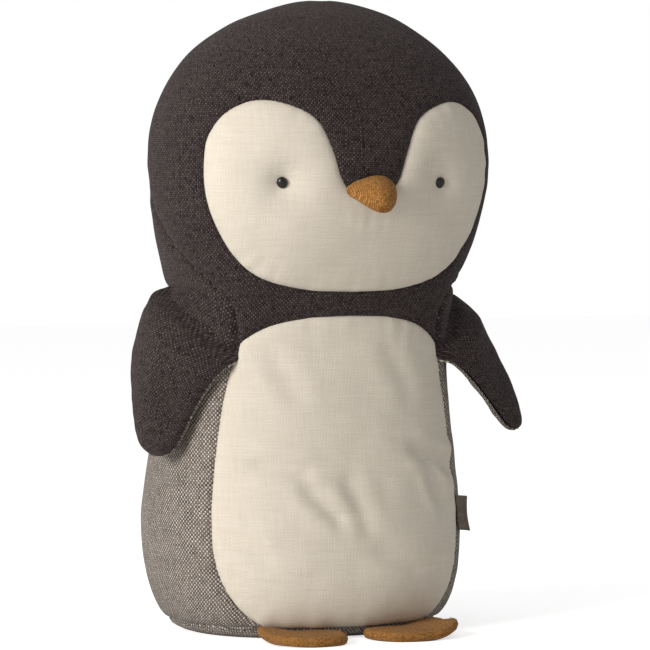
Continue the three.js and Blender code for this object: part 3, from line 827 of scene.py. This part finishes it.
# Rings from a middle point out to an outline, as (u, v) with the share of the way out.
def padGrid(outline, centre, rings, segments, spacing=1.0):
    line = smoothLine(outline, segments * 8, True)
    line = np.vstack([line, line[:1]])
    step = np.concatenate([[0], np.cumsum(np.linalg.norm(np.diff(line, axis=0), axis=1))])
    where = np.arange(segments) / segments * step[-1]
    rim = np.stack([np.interp(where, step, line[:, k]) for k in range(2)], 1)
    out = (np.linspace(0, 1, rings + 1) ** spacing)[:, None, None]
    place = np.asarray(centre, float) * (1 - out) + rim[None] * out
    return place, np.broadcast_to(out[..., 0], place.shape[:2])


# Joins a grid whose first row is one point: rows go out from it.
def padFaces(rows, columns, flip):
    index = np.arange(rows * columns).reshape(rows, columns)
    index[0, :] = 0
    triangles = splitQuads(gridQuads(index))
    return triangles[:, ::-1] if flip else triangles


# How far each point of a pad's plan is from the nearest point of its rim.
def rimDistance(place):
    tree = kdtree.KDTree(place.shape[1])
    for i, p in enumerate(place[-1]):
        tree.insert((p[0], p[1], 0), i)
    tree.balance()
    return np.array([tree.find((a, b, 0))[2] for a, b in place.reshape(-1, 2)])


def facesOutwards(points, triangles, outwards):
    # turns all faces round if most of them look the wrong way
    normals = vertexNormals(points, triangles)
    return triangles if (normals * outwards).sum() > 0 else triangles[:, ::-1]


# The cloth goes on round the rim of a pad, so its own coordinates go on outwards there.
def rolledUv(u, v, centre, further):
    flat = np.stack([u, v], 1)
    away = flat - centre
    reach = np.maximum(np.linalg.norm(away, axis=1), 1e-6)
    return flat + away * (further / reach)[:, None]


wing = {
    "outline": [
        (-27, -8.5), (-23.5, -18), (-21, -26), (-19, -34.3), (-17.3, -43), (-15.5, -49), (-13, -51.8),
        (-7.5, -53.8), (-1.5, -52.6), (3, -49), (8.5, -41.4), (14, -33.2), (18.4, -26), (21, -18),
        (21.5, -6.5),
        (18.5, 4.4), (17.3, 9.0), (9, 11.2), (0, 13.5), (-10, 16.1), (-20, 18.7), (-23, 9), (-25.3, 0),
    ],
    "centre": (-1, -20),
    "rings": 40,
    "segments": 220,
    "root": (-58.4, -11.9, 124.5),
    "back": (-0.34919, 0.90208, 0.25361),
    "up": (0.18383, -0.19944, 0.96251),
    "outward": (-0.91884, -0.38272, 0.09619),
    "bulge": 4.5,
    "halfWidth": 20.0,
    "outerDome": 6.0,
    "innerDome": 4.6,
    "domeEdge": 11.0,           # mm from the rim over which the stuffing rounds it
    "fullBetween": (4, 20),     # mm from the rim over which the last quarter of the dome is gained
    "freeBetween": (-0.5, 13),  # mm below the fold over which the cloth comes away from the body
    "flatShare": 0.25,          # how much of the dome is left where the cloth is sewn down
    "foldHeights": ((-9.6, 0.35), (17, 9.0)),   # the fold above which the cloth is sewn down on the body
    "foldSlope": 0.55,          # how steeply the fold runs on in front of them
    "foldSoftness": 3.2,
    "proud": 0.9,
    "tucked": 0.45,             # the least it stands above the body
    "under": 2.6,               # how deep the inner cloth lies there
    "crease": {"front": 0.8, "back": 5.2, "between": (-24, 10), "width": 2.6, "innerDeeper": 1.2},
    # height, size and seed of the lumps, where they sample, and how far from the rim they are full
    "lumps": [(0.5, 9, 5, 50, 3), (0.55, 21, 8, 90, 5)],
    "gathers": {"size": 4.5, "seed": 11, "rim": 0.5, "rimReach": 3.5, "fold": 0.6, "foldReach": 6.0},
    "tipOut": 1.3,              # how far the rim turns outwards at the lower front
    "thickness": 0.8,
    "fill": 0.5,
    "filling": ((-1, -26), 0.8),        # its middle, and its share of the wing's outline
    "filledTo": 16,                     # the corners of the outline below the fold
    "filled": 2.4,
    "bendFrom": 5.0,            # a point this far above the hinge
    "bendTo": -9.0,             # and one this far below it
    "lift": {"right": 0.0, "left": 24.5},
    "hingeFront": (-48.907, -31.788, 109.735),
    "hingeBack": (-64.736, 3.212, 132.997),
}

skinTree = BVHTree.FromPolygons(skinPoints.tolist(), skinTriangles.tolist())


def onSkin(points, direction, proud):
    result = []
    for p, lift in zip(points, proud):
        start = Vector(p) - Vector(direction) * 25
        hit, normal, _, _ = skinTree.ray_cast(start, Vector(direction), 70)
        if hit is None:
            hit, normal, _, _ = skinTree.find_nearest(Vector(p))
        result.append(hit + normal * float(lift))
    return np.array(result)


# The sewn cloth may dip at its fold, but never under the body's skin.
def keptProud(points, proud, where):
    points = points.copy()
    for i in np.flatnonzero(where):
        hit, normal, _, _ = skinTree.find_nearest(Vector(points[i]))
        if (Vector(points[i]) - hit).dot(normal) < proud[i]:
            points[i] = hit + normal * float(proud[i])
    return points


def makeWing(sideName, blend):
    side = -1 if sideName == "right" else 1
    flipX = np.array([-side, 1.0, 1.0])
    root, back, up, outward = (np.array(wing[key]) for key in ("root", "back", "up", "outward"))
    place, out = padGrid(wing["outline"], wing["centre"], wing["rings"], wing["segments"], 0.8)
    rows, columns = out.shape
    u, v = place[..., 0].ravel(), place[..., 1].ravel()
    edge = rimDistance(place)
    (u0, v0), (u1, v1) = wing["foldHeights"]
    fold = v0 + (v1 - v0) * (u - u0) / (u1 - u0)
    fold = np.where(u < u0, v0 + (u - u0) * wing["foldSlope"], fold)
    above = v - fold
    sewn = smoothStep(-wing["foldSoftness"], wing["foldSoftness"], above)
    dome = np.sqrt(np.clip(1 - (1 - np.clip(edge / wing["domeEdge"], 0, 1)) ** 2, 0, 1))
    dome = dome * (0.75 + 0.25 * smoothStep(*wing["fullBetween"], edge))
    free = smoothStep(*wing["freeBetween"], -above)
    crease, gathers = wing["crease"], wing["gathers"]
    deep = crease["front"] + (crease["back"] - crease["front"]) * smoothStep(*crease["between"], u)
    valley = np.exp(-(above / crease["width"]) ** 2) * deep
    curve = wing["bulge"] * (1 - (u / wing["halfWidth"]) ** 2)
    rimShift = wing["tipOut"] * smoothStep(0, -14, u) * smoothStep(-8, -20, v) * smoothStep(9, 0, edge)
    hinge = np.array(wing["hingeFront"])
    axis = Vector(wing["hingeBack"]) - Vector(wing["hingeFront"])
    turn = np.array(Matrix.Rotation(math.radians(wing["lift"][sideName]), 3, axis.normalized()))
    for layer, sign, height in (("Outer", 1, wing["outerDome"]), ("Inner", -1, wing["innerDome"])):
        w = curve + rimShift + sign * height * dome * (wing["flatShare"] + (1 - wing["flatShare"]) * free)
        base = root + u[:, None] * back + v[:, None] * up + w[:, None] * outward
        gather = relief(np.stack([u, v, 0 * u], 1) + 30 * side, gathers["size"], gathers["seed"])
        uneven = gathers["rim"] * gather * np.exp(-edge / gathers["rimReach"]) * smoothStep(0, 0.8, edge)
        uneven += gathers["fold"] * gather * np.exp(-(above / gathers["foldReach"]) ** 2)
        for lump, size, seed, away, full in wing["lumps"]:
            uneven += lump * relief(base + away * side, size, seed + side) * smoothStep(0, full, edge)
        base += (sign * uneven * (1 - sewn))[:, None] * outward
        base = (base - hinge) @ turn.T + hinge
        if sign > 0:
            proud = wing["proud"] * (1 - 1.6 * np.exp(-edge / 1.2)) + 0.35 * gather * np.exp(-edge / 5)
        else:
            proud = np.full(len(u), -wing["under"])
        flat = (root + u[:, None] * back + v[:, None] * up) * flipX
        points = base * flipX
        share = sewn[:, None]
        near = sewn > 0.002
        skin = points.copy()
        skin[near] = onSkin(flat[near], Vector(-outward * flipX), proud[near])
        points = points * (1 - share) + skin * share
        facing = (outward @ turn.T) * flipX
        sunk = valley + (0 if sign > 0 else crease["innerDeeper"])
        points -= sunk[:, None] * facing * (1 - 0.5 * share)
        if sign > 0:
            points = keptProud(points, wing["tucked"] * (1 - 1.6 * np.exp(-edge / 1.2)), near)
        triangles = facesOutwards(points, padFaces(rows, columns, False), facing * sign)
        normals = vertexNormals(points, triangles)
        cloth = "charcoalLinen" if sign > 0 else "greyWeave"
        name = f"wing{layer}{sideName.capitalize()}"
        uv = rolledUv(u, v, wing["centre"], height * (1 - dome) * (1 - sewn))
        piece = clothPiece(name, points, triangles, uv, normals, cloth, wing["thickness"])
        nodes = [f"wing_{layer.lower()}_{sideName}"] + ([f"shoulder_panel_{sideName}"] if sign > 0 else [])
        finishPiece(piece, blend, nodes)


# A closed pad of fibre that follows a skin's outline, set in from it.
def fibrePad(name, outline, centre, share, place, height):
    grid, out = padGrid(outline, centre, 8, 40)
    rows, columns = out.shape
    flat = np.asarray(centre) + (grid - np.asarray(centre)) * share
    dome = np.sqrt(np.clip(1 - out.ravel() ** 2, 0, 1)) * height
    u, v = flat[..., 0].ravel(), flat[..., 1].ravel()
    upper, lower = place(u, v, dome), place(u, v, -dome)
    lowerIndex = np.arange(rows * columns) + rows * columns
    lowerIndex[-columns:] = np.arange(rows * columns)[-columns:]
    top = padFaces(rows, columns, False)
    faces = np.concatenate([top, lowerIndex[padFaces(rows, columns, True)]])
    points = np.vstack([upper, lower])
    used, faces = closedShell(points, faces)
    return meshPiece(name, points[used], faces, points[used, :2], "whiteFibre")


for sideName in ("right", "left"):
    mirrorX = np.array([1.0 if sideName == "right" else -1.0, 1, 1])
    hingeMiddle = (np.array(wing["hingeFront"]) + np.array(wing["hingeBack"])) / 2
    hingeAxis = (Vector(wing["hingeBack"]) - Vector(wing["hingeFront"])).normalized()
    lifted = np.array(Matrix.Rotation(math.radians(wing["lift"][sideName]), 3, hingeAxis))
    upNow = lifted @ np.array(wing["up"])
    halfUp = np.array(wing["up"]) + upNow
    halfUp /= np.linalg.norm(halfUp)
    start = tuple((hingeMiddle + wing["bendFrom"] * halfUp) * mirrorX * mm)
    end = tuple((hingeMiddle + wing["bendTo"] * halfUp) * mirrorX * mm)
    makeWing(sideName, ("torso", f"wing_{sideName}", start, end))

    def inWing(u, v, w, mirrorX=mirrorX, lifted=lifted):
        base = np.array(wing["root"]) + u[:, None] * wing["back"] + v[:, None] * wing["up"]
        w = w + wing["bulge"] * (1 - (u / wing["halfWidth"]) ** 2) * 0.8
        base = base + w[:, None] * wing["outward"]
        hinge = np.array(wing["hingeFront"])
        return ((base - hinge) @ lifted.T + hinge) * mirrorX

    outline = wing["outline"][:wing["filledTo"]]
    name = f"wingFilling{sideName.capitalize()}"
    filling = fibrePad(name, outline, *wing["filling"], inWing, wing["filled"])
    finishPiece(filling, f"wing_{sideName}", [f"wing_filling_{sideName}"])
print("wings made")


foot = {
    "outline": [
        (7, -45.5), (5.5, -56.5), (11, -65.5), (22, -68.5), (35, -65.5), (43, -57), (43.5, -47),
        (40.5, -38.5),
        (29, -40.5), (18, -43),
    ],
    "centre": (24, -54),
    "rings": 26,
    "segments": 150,
    "halfThickness": 2.0,
    "edge": 2.0,            # mm from the rim over which the layers round off
    "thickness": 0.9,
    "padHeight": 2.0,
    "curl": {"right": 0.6, "left": 3.2},    # how far the outer front corner lifts
    "rearLift": 2.2,                        # the outer rear corner goes up into the seam
    "padding": ((24, -53.5), 0.7),          # its middle, and its share of the outline
    "padded": 0.9,
    "fill": 0.4,
    "bendFrom": (0.0235, -0.0435, 0.0026),      # in metres, for the left foot
    "bendTo": (0.0252, -0.0505, 0.0026),
    "reshape": {"right": (8.3, 0.84), "left": (2.8, 0.99)},     # inner edge, and share of the drawn width
}


def footPlace(sideName, u, v, w):
    side = -1 if sideName == "right" else 1
    lift = foot["curl"][sideName] * smoothStep(26, 46, u) * smoothStep(-44, -56, v)
    lift += foot["rearLift"] * smoothStep(22, 44, u) * smoothStep(-58, -40, v)
    inner, share = foot["reshape"][sideName]
    u = inner + (u - 5.5) * share
    return np.stack([side * u, v, foot["padHeight"] + w + lift], 1)


def makeFoot(sideName):
    place, _ = padGrid(foot["outline"], foot["centre"], foot["rings"], foot["segments"], 0.75)
    u, v = place[..., 0].ravel(), place[..., 1].ravel()
    edge = rimDistance(place)
    rounded = np.sqrt(np.clip(1 - (1 - np.clip(edge / foot["edge"], 0, 1)) ** 2, 0, 1))
    rounded = 0.22 * smoothStep(0, 0.1, edge) + 0.78 * rounded      # the rim keeps a little height
    plan = np.stack([u, v, 0 * u], 1)
    mirror = np.array([-1 if sideName == "right" else 1, 1, 1])
    bend = [tuple(np.array(foot[key]) * mirror) for key in ("bendFrom", "bendTo")]
    for layer, sign in (("Top", 1), ("Sole", -1)):
        wave = relief(plan + 40 * sign, 11, 21) * 0.35 * smoothStep(0, 4, edge)
        wave += relief(plan, 4, 22) * 0.22 * np.exp(-((edge - 3) / 2.5) ** 2)
        w = sign * foot["halfThickness"] * rounded + (wave if sign > 0 else 0)
        points = footPlace(sideName, u, v, w)
        points[:, 2] = np.maximum(points[:, 2], 0)
        triangles = facesOutwards(points, padFaces(*place.shape[:2], False), np.array([0, 0, sign]))
        uv = rolledUv(u, v, foot["centre"], foot["halfThickness"] - np.abs(w))
        piece = clothPiece(f"foot{layer}{sideName.capitalize()}", points, triangles, uv,
                           vertexNormals(points, triangles), "mustardCloth", foot["thickness"])
        node = f"foot_{layer.lower()}_{sideName}"
        finishPiece(piece, ("torso", f"foot_{sideName}", *bend), [node])

    def inFoot(u, v, w):
        return footPlace(sideName, u, v, w)

    name = f"footPadding{sideName.capitalize()}"
    padding = fibrePad(name, foot["outline"], *foot["padding"], inFoot, foot["padded"])
    finishPiece(padding, f"foot_{sideName}", [f"foot_padding_{sideName}"])


makeFoot("right")
makeFoot("left")
print("feet made")


beak = {
    "base": (0, -55.5, 175.4),
    "reach": 19.6,
    "droop": 3.0,
    "halfWidth": (12.4, 6.6),       # at the face and towards the tip
    "above": (3.4, 8.0),
    "below": (2.8, 8.8),
    "tipFrom": 0.6,                # share of the reach where the tip starts to round off
    "roots": 2.4,                  # how far its corners bend back round the face
    "rows": 60,
    "columns": 72,
    "skip": 6,                     # rows that its filling leaves free at the face
    "wall": 1.6,
    "middle": (0, -60, 172),
    "lumps": [(0.28, 6, 31), (0.16, 2.8, 32)],     # height, size and seed
    "clothWide": 1.2,
    "fill": 0.7,
}


def beakPoints(inset):
    s = np.linspace(0, 1, beak["rows"]) ** 0.9
    angle = np.linspace(0, 2 * math.pi, beak["columns"], endpoint=False)
    tip = np.clip((s - beak["tipFrom"]) / (1 - beak["tipFrom"]), 0, 1)
    shut = np.sqrt(np.clip(1 - tip ** 2, 0, 1))
    ease = smoothStep(0, 1, s)
    sizes = (beak[key] for key in ("halfWidth", "above", "below"))
    wide, high, low = ((root * (1 - ease) + end * ease) * shut - inset * shut for root, end in sizes)
    c, n = np.cos(angle), np.sin(angle)
    x = wide[:, None] * np.sign(c) * np.abs(c) ** 0.95
    rise = np.where(n > 0, high[:, None], low[:, None]) * n
    bent = beak["roots"] * (np.abs(x) / 12) ** 2
    y = beak["base"][1] - (beak["reach"] - inset) * s[:, None] + bent + 0.18 * rise
    z = beak["base"][2] - beak["droop"] * s[:, None] ** 1.5 + rise
    return np.stack([x, np.broadcast_to(y, x.shape), np.broadcast_to(z, x.shape)], -1)


def closedGrid(name, grid, material, uv):
    # both ends of the grid are drawn together to a point
    rows, columns = grid.shape[:2]
    grid = grid.copy()
    grid[0], grid[-1] = grid[0].mean(0), grid[-1].mean(0)
    points = grid.reshape(-1, 3)
    used, faces = closedShell(points, splitQuads(gridQuads(gridIndex(rows, columns))))
    return meshPiece(name, points[used], faces, np.asarray(uv)[used], material)


grid = beakPoints(0)
flatGrid = grid.reshape(-1, 3)
bumps = sum(height * relief(flatGrid, size, seed) for height, size, seed in beak["lumps"])
away = flatGrid - np.array(beak["middle"])
flatGrid = flatGrid + away / np.linalg.norm(away, axis=1, keepdims=True) * bumps[:, None]
beakUv = np.stack([flatGrid[:, 0] * beak["clothWide"], flatGrid[:, 1] + flatGrid[:, 2]], 1)
beakSkin = closedGrid("beakSkin", flatGrid.reshape(grid.shape), "mustardCloth", beakUv)
finishPiece(beakSkin, "torso", ["beak_skin"])
inner = (beakPoints(beak["wall"]) + np.array([0, 1.2, 0]))[beak["skip"]:]
beakFilling = closedGrid("beakFilling", inner, "whiteFibre", inner.reshape(-1, 3)[:, :2])
finishPiece(beakFilling, "torso", ["beak_filling"])
print("beak made")


eye = {"radius": 2.1, "tall": 1.12, "flatness": 0.75, "proud": 0.8, "rows": 22, "ring": 24}


def ballGrid(centre, radii, rows, columns, around):
    # a closed ball, its poles along the direction given
    turn = np.array(Vector((0, 0, 1)).rotation_difference(Vector(around)).to_matrix())
    polar = np.linspace(0, math.pi, rows)[:, None]
    angle = np.linspace(0, 2 * math.pi, columns, endpoint=False)[None]
    ball = np.stack([radii[0] * np.sin(polar) * np.cos(angle), radii[1] * np.sin(polar) * np.sin(angle),
                     radii[2] * np.cos(polar) + 0 * angle], -1)
    return ball @ turn.T + np.asarray(centre)


for sideName, (eyeX, eyeZ, _, _) in zip(("right", "left"), form["eyeDimples"]):
    hit, normal, _, _ = skinTree.ray_cast(Vector((eyeX, -120, eyeZ)), Vector((0, 1, 0)), 200)
    centre = hit + normal * eye["proud"]
    radii = np.array([1, eye["tall"], eye["flatness"]]) * eye["radius"]
    bead = ballGrid(centre, radii, eye["rows"], eye["ring"], normal)
    piece = closedGrid(f"eyeBead{sideName.capitalize()}", bead, "blackBead", bead.reshape(-1, 3)[:, :2])
    finishPiece(piece, "torso", [f"eye_bead_{sideName}"])
print("eyes made")


inside = {
    # name: lowest and highest point, CAD node
    "pads": {"bodyFilling": (9.0, 135.0, "body_filling"), "headFilling": (136.5, 242.0, "head_filling")},
    "inset": 8.0,           # so that no fibre shows through a seam
    "columnStep": 4,
    "rowStep": 3,
    "minRadius": 14.0,
    "fill": 0.8,
}


def fillingPiece(name, low, high):
    rings = bodyGrid()[0][form["discRows"]::inside["rowStep"], ::inside["columnStep"]]
    height = rings[:, 0, 2]
    rings = rings[(height > low) & (height < high)]
    centre = rings.mean(1, keepdims=True)
    radius = np.linalg.norm((rings - centre)[..., :2], axis=2).min(1)
    rings, centre, radius = (part[radius > inside["minRadius"]] for part in (rings, centre, radius))
    away = rings - centre
    reach = np.linalg.norm(away[..., :2], axis=2, keepdims=True)
    rings = centre + away * (1 - inside["inset"] / reach)
    ends = [np.broadcast_to(rings[k].mean(0), rings[k].shape)[None] for k in (0, -1)]
    grid = np.concatenate([ends[0], rings, ends[1]])
    grid[:, :, 2] = np.clip(grid[:, :, 2], low, high - 1)
    return closedGrid(name, grid, "whiteFibre", grid.reshape(-1, 3)[:, [0, 2]])


for name, (low, high, node) in inside["pads"].items():
    finishPiece(fillingPiece(name, low, high), "torso", [node])

# the pouch of pellets and the eye thread keep their own shapes, and get cloth and thread
for node, material in (("weight_pouch", "looseCotton"), ("eye_thread", "darkThread")):
    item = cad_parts[node]
    item.data.materials.clear()
    item.data.materials.append(materials[material])
print("insides made")

# The side label is a folded ribbon with a plain weave.
label = {
    "place": (53.4, -29.4, 46.0),
    "directionDeg": 8.0,       # from the penguin's left towards its back
    "bendStart": (55.6, -29.2, 46.0),      # its root is sewn in the seam, and this point is just outside it
    "bendEnd": (58.2, -28.8, 46.0),
    "reach": 6.2,
    "lean": 0.13,              # its lower end stands further out than its upper end
    "height": 14.0,
    "gap": 0.7,
    "bow": 1.3,                # how far it bellies sideways
    "twist": 0.9,
    "hang": 0.12,
    "thickness": 0.45,
    "rows": 30,
    "columns": 34,
}


def makeLabel():
    rows, columns = label["rows"], label["columns"]
    fold = label["gap"] / 2
    straight = label["reach"] - fold
    total = 2 * straight + math.pi * fold
    run = np.linspace(0, total, columns * 2)
    tall = np.linspace(0, label["height"], rows)
    far, side = np.empty_like(run), np.empty_like(run)
    for i, r in enumerate(run):
        if r < straight:
            far[i], side[i] = r, -fold
        elif r < straight + math.pi * fold:
            a = (r - straight) / fold
            far[i], side[i] = straight + fold * math.sin(a), -fold * math.cos(a)
        else:
            far[i], side[i] = total - r, fold
    turn = math.radians(label["directionDeg"])
    ahead, across = np.array([math.cos(turn), math.sin(turn)]), np.array([-math.sin(turn), math.cos(turn)])
    z = label["place"][2] - label["height"] / 2 + tall
    share = (far / label["reach"])[:, None]
    bow = label["bow"] * np.sin(share * 2.2) * np.ones_like(z)
    bow = bow + label["twist"] * np.sin((z - 39) * 0.25)[None] * share
    z = z[None] - label["hang"] * far[:, None]
    out = far[:, None] + label["lean"] * (label["place"][2] - z)
    x = label["place"][0] + out * ahead[0] + (side[:, None] + bow) * across[0]
    y = label["place"][1] + out * ahead[1] + (side[:, None] + bow) * across[1]
    points = np.stack([x, y, np.broadcast_to(z, x.shape)], -1).reshape(-1, 3)
    index = np.arange(len(run) * rows).reshape(len(run), rows)
    quads = np.stack([index[:-1, :-1], index[1:, :-1], index[1:, 1:], index[:-1, 1:]], -1).reshape(-1, 4)
    triangles = splitQuads(quads)
    normals = vertexNormals(points, triangles)
    uv = np.stack([np.repeat(run, rows), np.tile(tall, len(run))], 1)
    return clothPiece("sideLabel", points, triangles, uv, normals, "labelRibbon", label["thickness"]), total


sideLabel, labelLength = makeLabel()
labelBend = [tuple(np.array(label[key]) * mm) for key in ("bendStart", "bendEnd")]
finishPiece(sideLabel, ("torso", "label", *labelBend), ["side_label"])
print("label made")


stitching = {
    "spacing": 3.4,
    "length": 1.9,
    "thickness": 0.42,
    "unevenness": 0.3,
    "proud": 0.45,          # how far a foot's stitches stand above its cloth
    "inFromRim": 2.8,
    "footFront": -54.0,     # a foot is only stitched in front of this
    "roundBase": (panels["baseHeight"] + 0.4, 0.15),    # height, and how far they stand proud
    "seed": 7,
}


# Small sewn stitches along a line: the line is divided, and a rounded stitch lies on each place.
def stitchTree(material):
    tree = bpy.data.node_groups.new("stitchRow", "GeometryNodeTree")
    tree.interface.new_socket("Geometry", in_out="INPUT", socket_type="NodeSocketGeometry")
    sizes = {}
    for name in ("Spacing", "Stitch Length", "Thread Thickness", "Unevenness"):
        sizes[name] = tree.interface.new_socket(name, in_out="INPUT", socket_type="NodeSocketFloat")
    sizes["Seed"] = tree.interface.new_socket("Seed", in_out="INPUT", socket_type="NodeSocketInt")
    tree.interface.new_socket("Geometry", in_out="OUTPUT", socket_type="NodeSocketGeometry")
    start = addNode(tree, "NodeGroupInput").outputs
    line = addNode(tree, "GeometryNodeMeshToCurve", {"Mesh": start["Geometry"]}).outputs[0]
    divide = {"Curve": line, "Length": start["Spacing"]}
    places = addNode(tree, "GeometryNodeCurveToPoints", divide, mode="LENGTH")
    ball = addNode(tree, "GeometryNodeMeshUVSphere", {"Segments": 8, "Rings": 7, "Radius": 0.5}).outputs[0]
    size = addNode(tree, "ShaderNodeCombineXYZ", {
        0: start["Thread Thickness"], 1: start["Thread Thickness"], 2: start["Stitch Length"]})
    stitch = addNode(tree, "GeometryNodeTransform", {"Geometry": ball, "Scale": size.outputs[0]}).outputs[0]
    least = addNode(tree, "ShaderNodeMath", {0: 1.0, 1: start["Unevenness"]}, operation="SUBTRACT").outputs[0]
    vary = addNode(tree, "FunctionNodeRandomValue", {"Min": least, "Max": 1.0, "Seed": start["Seed"]},
                   data_type="FLOAT")
    varied = [s for s in vary.outputs if s.enabled][0]
    laid = addNode(tree, "GeometryNodeInstanceOnPoints", {
        "Points": places.outputs["Points"], "Instance": stitch, "Rotation": places.outputs["Rotation"],
        "Scale": varied})
    real = addNode(tree, "GeometryNodeRealizeInstances", {"Geometry": laid.outputs[0]}).outputs[0]
    done = addNode(tree, "GeometryNodeSetMaterial", {"Geometry": real, "Material": material}).outputs[0]
    addNode(tree, "NodeGroupOutput", {"Geometry": done})
    return tree, sizes


def stitchRow(name, points, material, closed):
    # points are in mm; the line of edges between them becomes a row of stitches
    count = len(points)
    edges = [(i, i + 1) for i in range(count - 1)] + ([(count - 1, 0)] if closed else [])
    mesh = bpy.data.meshes.new(name)
    mesh.from_pydata([tuple(p) for p in np.asarray(points) * mm], edges, [])
    item = linkObject(name, mesh)
    tree, sizes = stitchTree(materials[material])
    maker = item.modifiers.new("stitches", "NODES")
    maker.node_group = tree
    values = {"Spacing": stitching["spacing"] * mm, "Stitch Length": stitching["length"] * mm,
              "Thread Thickness": stitching["thickness"] * mm, "Unevenness": stitching["unevenness"],
              "Seed": stitching["seed"]}
    for key, value in values.items():
        maker[sizes[key].identifier] = value
    made = evaluated(item)
    item.modifiers.remove(maker)
    item.data = made
    made.shade_smooth()
    print(f"{name}: {len(made.polygons)} faces")
    return item


def roundTheBody(height, proud):
    # a level line round the skin
    line = []
    for angle in np.linspace(0, 2 * math.pi, 240, endpoint=False):
        start = Vector((90 * math.cos(angle), 90 * math.sin(angle), height))
        hit, normal, _, _ = skinTree.ray_cast(start, Vector((-start.x, -start.y, 0)).normalized(), 120)
        line.append(np.array(hit + normal * proud))
    return line


def footRimLine(sideName):
    # along the front of a foot, a little in from its rim
    place, _ = padGrid(foot["outline"], foot["centre"], 12, 220)
    away = place[-1] - foot["centre"]
    line = place[-1] - away / np.linalg.norm(away, axis=1, keepdims=True) * stitching["inFromRim"]
    line = np.roll(line, -int(np.argmax(line[:, 1])), axis=0)
    line = line[line[:, 1] < stitching["footFront"]]
    height = np.full(len(line), foot["halfThickness"] + stitching["proud"])
    return footPlace(sideName, line[:, 0], line[:, 1], height)


stitchRows = [
    # name, line, closed, thread, body, slot
    ("baseStitches", roundTheBody(*stitching["roundBase"]), True, "darkThread", "torso", "grey_weave"),
    ("footStitchesRight", footRimLine("right"), False, "mustardThread", "foot_right", "mustard_cloth"),
    ("footStitchesLeft", footRimLine("left"), False, "mustardThread", "foot_left", "mustard_cloth"),
]
for name, line, closed, thread, body, slotName in stitchRows:
    piece = stitchRow(name, line, thread, closed)
    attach(piece, body)
print("stitches sewn")
